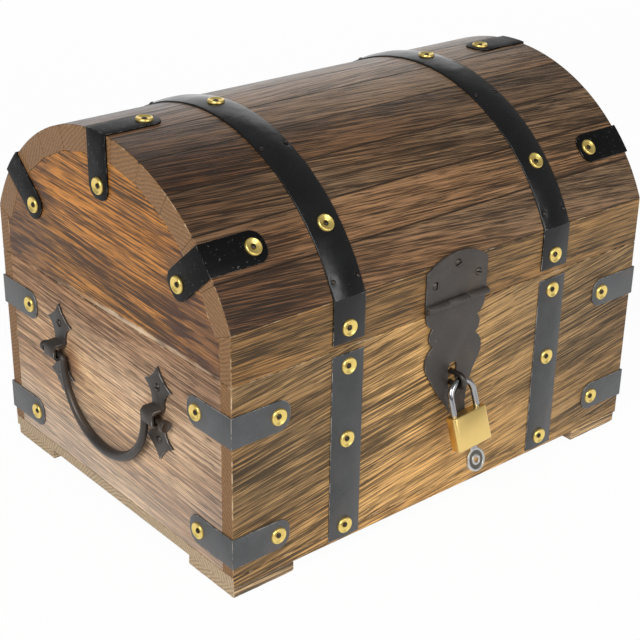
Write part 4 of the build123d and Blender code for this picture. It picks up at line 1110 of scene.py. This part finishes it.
class CHEST_OT_bands(bpy.types.Operator):
    """Dresses the crowned bands up the body and builds those over the lid"""

    bl_idname = "chest.bands"
    bl_label = "Bands"

    def execute(self, context):
        iron = context.scene.chest_iron
        # The bands share one iron tone. On the body it is painted lighter, a painted reflection of the bright
        # floor. On the lid it is painted darker, painted shade for the dark room above.
        body_iron_painted_reflection = make_iron("body_band_iron", shaded(iron.band_tone, 1.4), 0.28, 0.0, 0.08, 0.1)
        lid_iron_painted_shade = make_iron("lid_band_iron", shaded(iron.band_tone, 0.14), 0.24, 0.0, 0.0, 0.0, 0.4)
        for side in ("front", "back"):
            dress_iron(f"{side}_body_bands", "chest", body_iron_painted_reflection)
        for x, name in ((-band_x, "left_lid_band"), (band_x, "right_lid_band")):
            bent = grown(self.crowned_strip(x, iron.ease, iron.dent_depth), arch_tree(), lid_iron_painted_shade)
            mesh = smoothed(joined([bent, self.flat_legs(x, iron.ease)], name), 50)
            set_piece(name + "_iron", mesh, "lid", [name], lid_iron_painted_shade)
        return {"FINISHED"}

    def crowned_strip(self, x, ease, dent):
        """The straight strip that is bent over the arch, with waves along it and a dent at each tack."""
        rows = 190
        steps = 26
        sag_share = 0.3
        ripple_share = 0.045
        half = band_width / 2
        length = 2 * arch_radius * arch_half_angle
        seats = [angle * arch_radius for angle in (-lid_band_nail_angle, 0, lid_band_nail_angle)]
        tacks = [(x, angle * arch_radius) for angle in tack_angles for x in (-tack_offset, tack_offset)]
        flat = [-half + ease + (band_width - 2 * ease) * step / steps for step in range(1, steps)]
        columns = [-half, -half, -half + ease, *flat, half - ease, half, half]
        last = len(columns) - 1
        shape = bmesh.new()
        worn = shape.verts.layers.float.new("edge")
        grid = []
        for row in range(rows + 1):
            y = -length / 2 + length * row / rows
            sag = sag_share * abs(noise.noise(Vector((x * 9, y * 38, 0.4))))
            near_seat = min(abs(y - seat) for seat in seats)
            swell = 1 - sag * min(1.0, max(0.0, near_seat / seat_reach - 1))
            line = []
            for number, column in enumerate(columns):
                ripple = noise.noise(Vector((x * 9 + math.copysign(3, column), y * 75, 1.7)))
                across = column * (1 - ripple_share * abs(ripple))
                height = band_edge + (lid_band_crown - band_edge) * swell * (1 - (across / half) ** 2)
                if number in (0, last):
                    height = 0.0
                elif number in (1, last - 1):
                    height = band_edge - ease
                for tack_x, tack_y in tacks:
                    if height > band_edge:
                        away = math.hypot(across - tack_x, y - tack_y)
                        height -= dent * math.exp(-((away / dent_reach) ** 2))
                vert = shape.verts.new((x + across, y, height))
                vert[worn] = float(number in (1, 2, last - 2, last - 1))
                line.append(vert)
            grid.append(line)
        for lower, upper in zip(grid, grid[1:]):
            for index in range(len(columns)):
                shape.faces.new((lower[index - 1], lower[index], upper[index], upper[index - 1]))
        shape.faces.new(grid[0])
        shape.faces.new(grid[-1][::-1])
        return cast(shape, "strip", outward=True)

    def flat_legs(self, x, ease):
        """The flat ends of a band, on the lid's front and back boards."""
        shape = bmesh.new()
        foot = lid_z + 0.0038
        top = spring_z + 0.0006
        size = Vector((band_width, flat_band, top - foot))
        for low_y in (front_y - flat_band, back_y):
            low = Vector((x - band_width / 2, low_y, foot))
            for vert in bmesh.ops.create_cube(shape, size=1.0)["verts"]:
                vert.co = low + Vector(size[i] * (vert.co[i] + 0.5) for i in range(3))
        edges = [edge for edge in shape.edges if edge.calc_length() > flat_band * 1.1]
        ease_edges(shape, edges, ease)
        mark_eased(shape)
        return cast(shape, "legs")


class CHEST_OT_rosettes(bpy.types.Operator):
    """Sets the brass rosettes on the straps and bands"""

    bl_idname = "chest.rosettes"
    bl_label = "Rosettes"

    def execute(self, context):
        nails = context.scene.chest_nails
        material = make_bright(
            "rosette_brass", nails.brass_tone, 0.3, 0.3, (0.33, 0.19, 0.05), ring=True, metal=0.85
        )
        rim = [(1.0, 0.0), (0.99, 0.3), (0.955, 0.7), (0.9, 0.95), (0.85, 1.0), (0.81, 0.95)]
        dish = [(0.72, 0.76), (0.58, 0.54), (0.44, 0.4), (0.37, 0.35), (0.33, 0.24), (0.0, 0.2)]
        shares = [share for share, _ in rim + dish]
        points = [(share * nails.rosette_radius, level * nails.rosette_height) for share, level in rim + dish]
        head = smoothed(lathe(points, 28, "rosette", shares), 60)
        for body, node, places in (
            ("chest", "body_rosettes", body_places()),
            ("lid", "lid_rosettes", lid_places()),
        ):
            mesh = planted(head, places, material, 0.02, nails.seed)
            set_piece(node + "_brass", mesh, body, [node])
        return {"FINISHED"}


class CHEST_OT_nails(bpy.types.Operator):
    """Sets the forged nails in the rosettes and the small tacks of the lid bands"""

    bl_idname = "chest.nails"
    bl_label = "Nails and tacks"

    def execute(self, context):
        nails = context.scene.chest_nails
        material = make_iron("nail_iron", (0.05, 0.045, 0.04), 0.26, 0.0, 0.1, 0.9)
        radius = nails.nail_radius
        under = [(0, -0.00042), (radius * 0.8, -0.0004), (radius, 0.0)]
        over = [(radius * 0.93, 0.0003), (radius * 0.62, 0.00062), (radius * 0.3, 0.00078), (0, 0.0008)]
        head = smoothed(lathe(under + over, 8, "nail"), 25)
        rise = 0.0003 + radius * 0.0014 / 0.0049
        for body, node, places, tacks in (
            ("chest", "body_nails", body_places(), []),
            ("lid", "lid_nails", lid_places(), tack_places()),
        ):
            seats = [(point + outward * rise, outward) for point, outward in places]
            mesh = planted(head, seats + tacks, material, 0.12, nails.seed + 3, wander=0.00035)
            set_piece(node + "_iron", mesh, body, [node])
        return {"FINISHED"}


class CHEST_OT_screws(bpy.types.Operator):
    """Sets the slotted screws of the hasp, hinges and handle brackets"""

    bl_idname = "chest.screws"
    bl_label = "Screws"

    def execute(self, context):
        nails = context.scene.chest_nails
        tone = shaded(context.scene.chest_iron.forged_tone, 1.25)
        material = make_iron("screw_iron", tone, 0.3, 0.0, 0.15, 0.9)
        head = self.slotted_head(nails.screw_radius)
        groups = (
            ("hasp_screws", "lid", self.hasp_places()),
            ("hinge_body_screws", "chest", self.hinge_places(-1)),
            ("hinge_lid_screws", "lid", self.hinge_places(1)),
            ("bail_bracket_screws", "chest", self.bracket_places()),
        )
        for number, (node, body, places) in enumerate(groups):
            mesh = planted(head, places, material, 0.02, nails.seed + number)
            set_piece(node + "_iron", mesh, body, [node])
        return {"FINISHED"}

    def slotted_head(self, radius):
        """A low domed head with a slot cut across it."""
        slot_width = 0.0011
        slot_floor = 0.0004
        slot_height = 0.0014
        curve = ((1.0, 0.0), (0.97, 0.00035), (0.8, 0.0008), (0.5, 0.0011), (0.0, 0.0012))
        profile = [(radius * share, height) for share, height in curve]
        base = bmesh.new()
        base.from_mesh(lathe(profile, 28, "dome"))
        bmesh.ops.holes_fill(base, edges=base.edges)
        dome = linked("dome", cast(base, "dome", outward=True))
        shape = bmesh.new()
        bmesh.ops.create_cube(shape, size=1.0)
        for vert in shape.verts:
            height = slot_floor + slot_height * (vert.co.z + 0.5)
            vert.co = Vector((vert.co.x * 3 * radius, vert.co.y * slot_width, height))
        cutter = linked("slot", cast(shape, "slot"))
        cut = dome.modifiers.new("slot", "BOOLEAN")
        cut.object = cutter
        cut.operation = "DIFFERENCE"
        cut.solver = "EXACT"
        mesh = evaluated(dome)
        bpy.data.objects.remove(cutter)

        def in_slot(face):
            on_floor = abs(face.center.z - slot_floor) < 0.00005
            return abs(face.center.y) < 0.0006 and (abs(face.normal.y) > 0.9 or on_floor)

        mark_pockets(mesh, in_slot)
        return smoothed(mesh, 35)

    def hasp_places(self):
        """The three screws of the hasp's plate."""
        spots = ((-0.0203, 0.0156), (0.0203, 0.0156), (0.0, 0.0272))
        return [(Vector((hasp_offset + x, front_y - hasp_leaf, hasp_z + z)), frontward) for x, z in spots]

    def hinge_places(self, upward):
        """The screws of the hinges' lower or upper leaves."""
        z = (seam_z + lid_z) / 2 + upward * hinge_screw_reach
        places = []
        for middle in (-hinge_offset, hinge_offset):
            for x in (middle - hinge_screw_spacing / 2, middle + hinge_screw_spacing / 2):
                places.append((Vector((x, back_y + hinge_leaf, z)), backward))
        return places

    def bracket_places(self):
        """The two screws of each handle bracket."""
        places = []
        for side in (-1, 1):
            for y in (centre_y - bracket_spacing / 2, centre_y + bracket_spacing / 2):
                for z in (bracket_z - bracket_screw_height, bracket_z + bracket_screw_height):
                    places.append((Vector((side * (end_x + bracket_thickness), y, z)), Vector((side, 0, 0))))
        return places


class CHEST_OT_hinges(bpy.types.Operator):
    """Dresses the butt hinges on the back"""

    bl_idname = "chest.hinges"
    bl_label = "Hinges"

    def execute(self, context):
        material = make_iron("hinge_iron", context.scene.chest_iron.forged_tone, 0.45, 0.0, 0.2, 0.4)
        for part, body in (("body_leaves", "chest"), ("lid_leaves", "lid"), ("pins", "chest")):
            dress_iron(f"hinge_{part}", body, material)
        return {"FINISHED"}


class CHEST_OT_hasp(bpy.types.Operator):
    """Dresses the hasp's plate, its pin and its slotted leaf"""

    bl_idname = "chest.hasp"
    bl_label = "Hasp"

    def execute(self, context):
        material = make_iron("hasp_iron", context.scene.chest_iron.forged_tone, 0.45, 0.05, 0.2, 0.4)
        for node, body in (("hasp_lid_leaf", "lid"), ("hasp_pin", "lid"), ("hasp_slotted_leaf", "hasp")):
            dress_iron(node, body, material)
        return {"FINISHED"}


class CHEST_OT_staple(bpy.types.Operator):
    """Bends the staple that comes out through the hasp's slot"""

    bl_idname = "chest.staple"
    bl_label = "Staple"

    def execute(self, context):
        radius = context.scene.chest_lock.staple_radius
        material = make_iron("staple_iron", (0.06, 0.055, 0.05), 0.3, 0.0, 0.15, 0.85)
        steps = 32
        root_y = front_y + staple_depth
        bend_y = front_y - staple_reach + radius + staple_bend
        points = [(hasp_offset, root_y, staple_z - staple_bend)]
        for step in range(steps + 1):
            angle = math.pi * step / steps
            z = staple_z - staple_bend * math.cos(angle)
            points.append((hasp_offset, bend_y - staple_bend * math.sin(angle), z))
        points.append((hasp_offset, root_y, staple_z + staple_bend))
        mesh = rod(points, [radius] * len(points), material)
        set_piece("hasp_staple_iron", mesh, "chest", ["hasp_staple"])
        return {"FINISHED"}


class CHEST_OT_padlock(bpy.types.Operator):
    """Builds the padlock: its shackle, case and cylinder"""

    bl_idname = "chest.padlock"
    bl_label = "Padlock"

    def execute(self, context):
        lock = context.scene.chest_lock
        chrome = make_bright("shackle_chrome", lock.chrome_tone, 0.1, 0.15, (0.25, 0.24, 0.23))
        brass = make_bright("lock_brass", lock.brass_tone, 0.3, 0.08, (0.5, 0.34, 0.12), grain=(900, 60, 60))
        steps = 40
        long_leg, short_leg = shackle_legs
        outline = [(-shackle_bow, -shackle_drop - long_leg)]
        for step in range(steps + 1):
            angle = math.pi * (1 - step / steps)
            outline.append((shackle_bow * math.cos(angle), -shackle_bow + shackle_bow * math.sin(angle)))
        outline.append((shackle_bow, -shackle_drop - short_leg))
        place = lock_frame()
        points = [place @ Vector((x, y, 0)) for x, y in outline]
        shackle = rod(points, [lock.shackle_radius] * len(points), chrome, 36)
        set_piece("padlock_shackle_chrome", shackle, "shackle", ["padlock_shackle"])
        for part in ("case", "cylinder"):
            node = f"padlock_{part}"
            mesh = eased_copy(node, 0.0002, sharp=40)
            set_piece(node + "_brass", mesh, f"lock_{part}", [node], brass)
        return {"FINISHED"}


class CHEST_OT_key(bpy.types.Operator):
    """Dresses the key"""

    bl_idname = "chest.key"
    bl_label = "Key"

    def execute(self, context):
        tone = context.scene.chest_lock.key_tone
        steel = make_bright("key_steel", tone, 0.3, 0.2, (0.14, 0.13, 0.115))
        mesh = eased_copy("padlock_key", 0.00015, sharp=40)
        place = lock_frame().inverted()

        def in_bow(face):
            middle = place @ face.center
            across = place.to_3x3() @ face.normal
            return abs(across.z) > 0.9 and abs(middle.z) < 0.0008 and middle.y < -0.052

        mark_pockets(mesh, in_bow)
        set_piece("padlock_key_steel", mesh, "key", ["padlock_key"], steel)
        return {"FINISHED"}


class CHEST_OT_bail_brackets(bpy.types.Operator):
    """Dresses the spearhead brackets of the handles"""

    bl_idname = "chest.bail_brackets"
    bl_label = "Handle brackets"

    def execute(self, context):
        tone = shaded(context.scene.chest_iron.forged_tone, 0.8)
        material = make_iron("bracket_iron", tone, 0.42, 0.0, 0.2, 0.4)
        for side in ("left", "right"):
            for end in ("front", "back"):
                dress_iron(f"{side}_{end}_bail_bracket", "chest", material)
        return {"FINISHED"}


class CHEST_OT_bails(bpy.types.Operator):
    """Forges the bails: a bow that is thickest in the hand, with out-turned pins and knobs"""

    bl_idname = "chest.bails"
    bl_label = "Bails"

    def execute(self, context):
        handle = context.scene.chest_handle
        tone = shaded(context.scene.chest_iron.forged_tone, 0.8)
        material = make_iron("bail_iron", tone, 0.36, 0.0, 0.15, 0.4)
        pin_z = bracket_z - loop_half + bail_seat_gap + handle.pin_radius
        path = self.path(handle)
        girths = [girth for _, _, girth in path]
        for side, name in ((-1, "left_bail"), (1, "right_bail")):
            x = side * (end_x + bail_stand_off)
            points = [Vector((x, centre_y + y, pin_z + z)) for y, z, _ in path]
            parts = [rod(points, girths, material, 32)]
            for end in (-1, 1):
                knob = self.knob(handle.knob_radius)
                place = Vector((x, centre_y + end * (bail_span / 2 - knob_length), pin_z))
                knob.transform(Matrix.Translation(place) @ Matrix.Rotation(-end * math.pi / 2, 4, "X"))
                parts.append(knob)
            mesh = smoothed(joined(parts, name), 40)
            set_piece(name + "_iron", mesh, name, [name], material)
        return {"FINISHED"}

    def knob(self, radius):
        """The riveted end of a pin, with a shallow dish in it."""
        shank = [(0, 0), (radius * 0.9, 0), (radius, 0.0004), (radius, knob_length - 0.0006)]
        dish = ((0.93, 0.0001), (0.84, 0.0), (0.76, 0.0003), (0.4, 0.0010), (0, 0.0012))
        face = [(radius * share, knob_length - drop) for share, drop in dish]
        return smoothed(lathe(shank + face, 32, "knob"), 40)

    def path(self, handle):
        """The bail's (y, z, radius) points from knob to knob."""
        elbow_steps = 6
        bow_steps = 72
        pin_start = bail_grip_half + bail_elbow
        pin, thin, thick = handle.pin_radius, handle.thin_radius, handle.thick_radius
        side = [(bail_span / 2 - knob_length / 2, 0.0, pin), (pin_start + 0.001, 0.0, pin)]
        for step in range(elbow_steps + 1):
            share = step / elbow_steps
            angle = math.pi / 2 * share
            y = pin_start - bail_elbow * math.sin(angle)
            side.append((y, -bail_elbow + bail_elbow * math.cos(angle), pin + (thin - pin) * share))
        bow = []
        for step in range(1, bow_steps):
            angle = math.pi * step / bow_steps
            z = -bail_elbow - (bail_drop - bail_elbow) * math.sin(angle)
            swell = math.sin(angle) ** 1.5
            bow.append((bail_grip_half * math.cos(angle), z, thin + (thick - thin) * swell))
        return side + bow + [(-y, z, girth) for y, z, girth in reversed(side)]


class CHEST_OT_stage(bpy.types.Operator):
    """Sets the floor, the lamps, the room's light and the camera"""

    bl_idname = "chest.stage"
    bl_label = "Stage"

    def execute(self, context):
        stage = context.scene.chest_stage
        self.floor(stage)
        self.lamps(stage)
        self.room(context.scene, stage)
        self.camera(context.scene, stage)
        context.scene.view_settings.view_transform = "Standard"
        return {"FINISHED"}

    def floor(self, stage):
        """A wide floor that looks white, and still takes a faint shadow."""
        reach = 7.0
        corners = [(-reach, -reach, 0), (reach, -reach, 0), (reach, reach, 0), (-reach, reach, 0)]
        mesh = bpy.data.meshes.new("floor")
        mesh.from_pydata(corners, [], [(0, 1, 2, 3)])
        material = bpy.data.materials.new("floor")
        material.use_nodes = True
        tree = NodeTree(material.node_tree)
        matt = tree.add("ShaderNodeBsdfDiffuse", Color=(*stage.floor_tone, 1))
        glow = tree.add("ShaderNodeEmission", Strength=1.0)
        mixed = tree.add("ShaderNodeMixShader")
        share = tree.times(tree.seen_by("Camera", "Glossy"), 0.965)
        for socket, value in zip(mixed.inputs, (share, matt.outputs[0], glow.outputs[0])):
            tree.plug(socket, value)
        tree.add("ShaderNodeOutputMaterial", Surface=mixed.outputs[0])
        mesh.materials.append(material)
        floor = linked("floor", mesh)

    def lamps(self, stage):
        """Three soft lamps that face the chest."""
        target = Vector((0, 0, 0.12))
        for name, place, share, size in (
            ("key_lamp", (-1.65, -0.85, 1.4), 1.0, 1.0),
            ("back_lamp", (1.1, 1.7, 0.8), 0.3, 1.6),
            ("fill_lamp", (0.1, -1.9, 0.9), 0.45, 1.0),
        ):
            data = bpy.data.lights.new(name, "AREA")
            data.energy = stage.key_power * share
            data.size = size
            lamp = linked(name, data)
            lamp.location = place
            lamp.visible_camera = False
            lamp.rotation_euler = (target - Vector(place)).to_track_quat("-Z", "Y").to_euler()

    def room(self, scene, stage):
        """Even white light, and white to look at."""
        scene.world = bpy.data.worlds.new("room")
        scene.world.use_nodes = True
        tree = NodeTree(scene.world.node_tree)
        strength = tree.add("ShaderNodeMix")
        parts = (tree.seen_by("Camera", "Transmission"), stage.room_light, 1.0)
        for number, value in zip((0, 2, 3), parts):
            tree.plug(strength.inputs[number], value)
        light = tree.add("ShaderNodeBackground", Color=(1, 1, 1, 1), Strength=strength.outputs[0])
        tree.add("ShaderNodeOutputWorld", Surface=light.outputs[0])

    def camera(self, scene, stage):
        """The camera, where it stood in the photograph."""
        place = (-0.6509, -0.7481, 0.5694)
        azimuth = math.radians(40.49)
        elevation = math.radians(25.40)
        roll = math.radians(1.03)
        data = bpy.data.cameras.new("camera")
        data.lens = stage.lens
        data.sensor_width = 36.0
        level = math.cos(elevation)
        forward = Vector((math.sin(azimuth) * level, math.cos(azimuth) * level, -math.sin(elevation)))
        right = forward.cross(Vector((0, 0, 1))).normalized()
        upward = right.cross(forward)
        turned_right = math.cos(roll) * right + math.sin(roll) * upward
        turned_up = -math.sin(roll) * right + math.cos(roll) * upward
        turn = Matrix((turned_right, turned_up, -forward)).transposed().to_4x4()
        camera = linked("camera", data)
        camera.matrix_world = Matrix.Translation(place) @ turn
        scene.camera = camera


OPERATORS = (
    CHEST_OT_stage,
    CHEST_OT_body_boards,
    CHEST_OT_feet,
    CHEST_OT_lid_boards,
    CHEST_OT_lid_staves,
    CHEST_OT_corner_straps,
    CHEST_OT_bands,
    CHEST_OT_rosettes,
    CHEST_OT_nails,
    CHEST_OT_screws,
    CHEST_OT_hinges,
    CHEST_OT_hasp,
    CHEST_OT_staple,
    CHEST_OT_padlock,
    CHEST_OT_key,
    CHEST_OT_bail_brackets,
    CHEST_OT_bails,
)

SETTINGS = (
    ("chest_wood", ChestWoodSettings),
    ("chest_iron", ChestIronSettings),
    ("chest_nails", ChestNailSettings),
    ("chest_lock", ChestLockSettings),
    ("chest_handle", ChestHandleSettings),
    ("chest_stage", ChestStageSettings),
)


class CHEST_PT_panel(bpy.types.Panel):
    """Lists the chest's settings and the steps that build it"""

    bl_idname = "CHEST_PT_panel"
    bl_label = "Treasure chest"
    bl_space_type = "VIEW_3D"
    bl_region_type = "UI"
    bl_category = "Chest"

    def draw(self, context):
        for name, group in SETTINGS:
            settings = getattr(context.scene, name)
            box = self.layout.box()
            for prop in group.__annotations__:
                box.prop(settings, prop)
        for operator in OPERATORS:
            self.layout.operator(operator.bl_idname)


def register():
    for name, group in SETTINGS:
        bpy.utils.register_class(group)
        setattr(bpy.types.Scene, name, bpy.props.PointerProperty(type=group))
    for operator in OPERATORS:
        bpy.utils.register_class(operator)
    bpy.utils.register_class(CHEST_PT_panel)


def unregister():
    bpy.utils.unregister_class(CHEST_PT_panel)
    for operator in reversed(OPERATORS):
        bpy.utils.unregister_class(operator)
    for name, group in reversed(SETTINGS):
        delattr(bpy.types.Scene, name)
        bpy.utils.unregister_class(group)


def main():
    register()
    for operator in OPERATORS:
        step = operator.bl_idname.split(".")[1]
        getattr(bpy.ops.chest, step)()


if __name__ == "__main__":
    main()
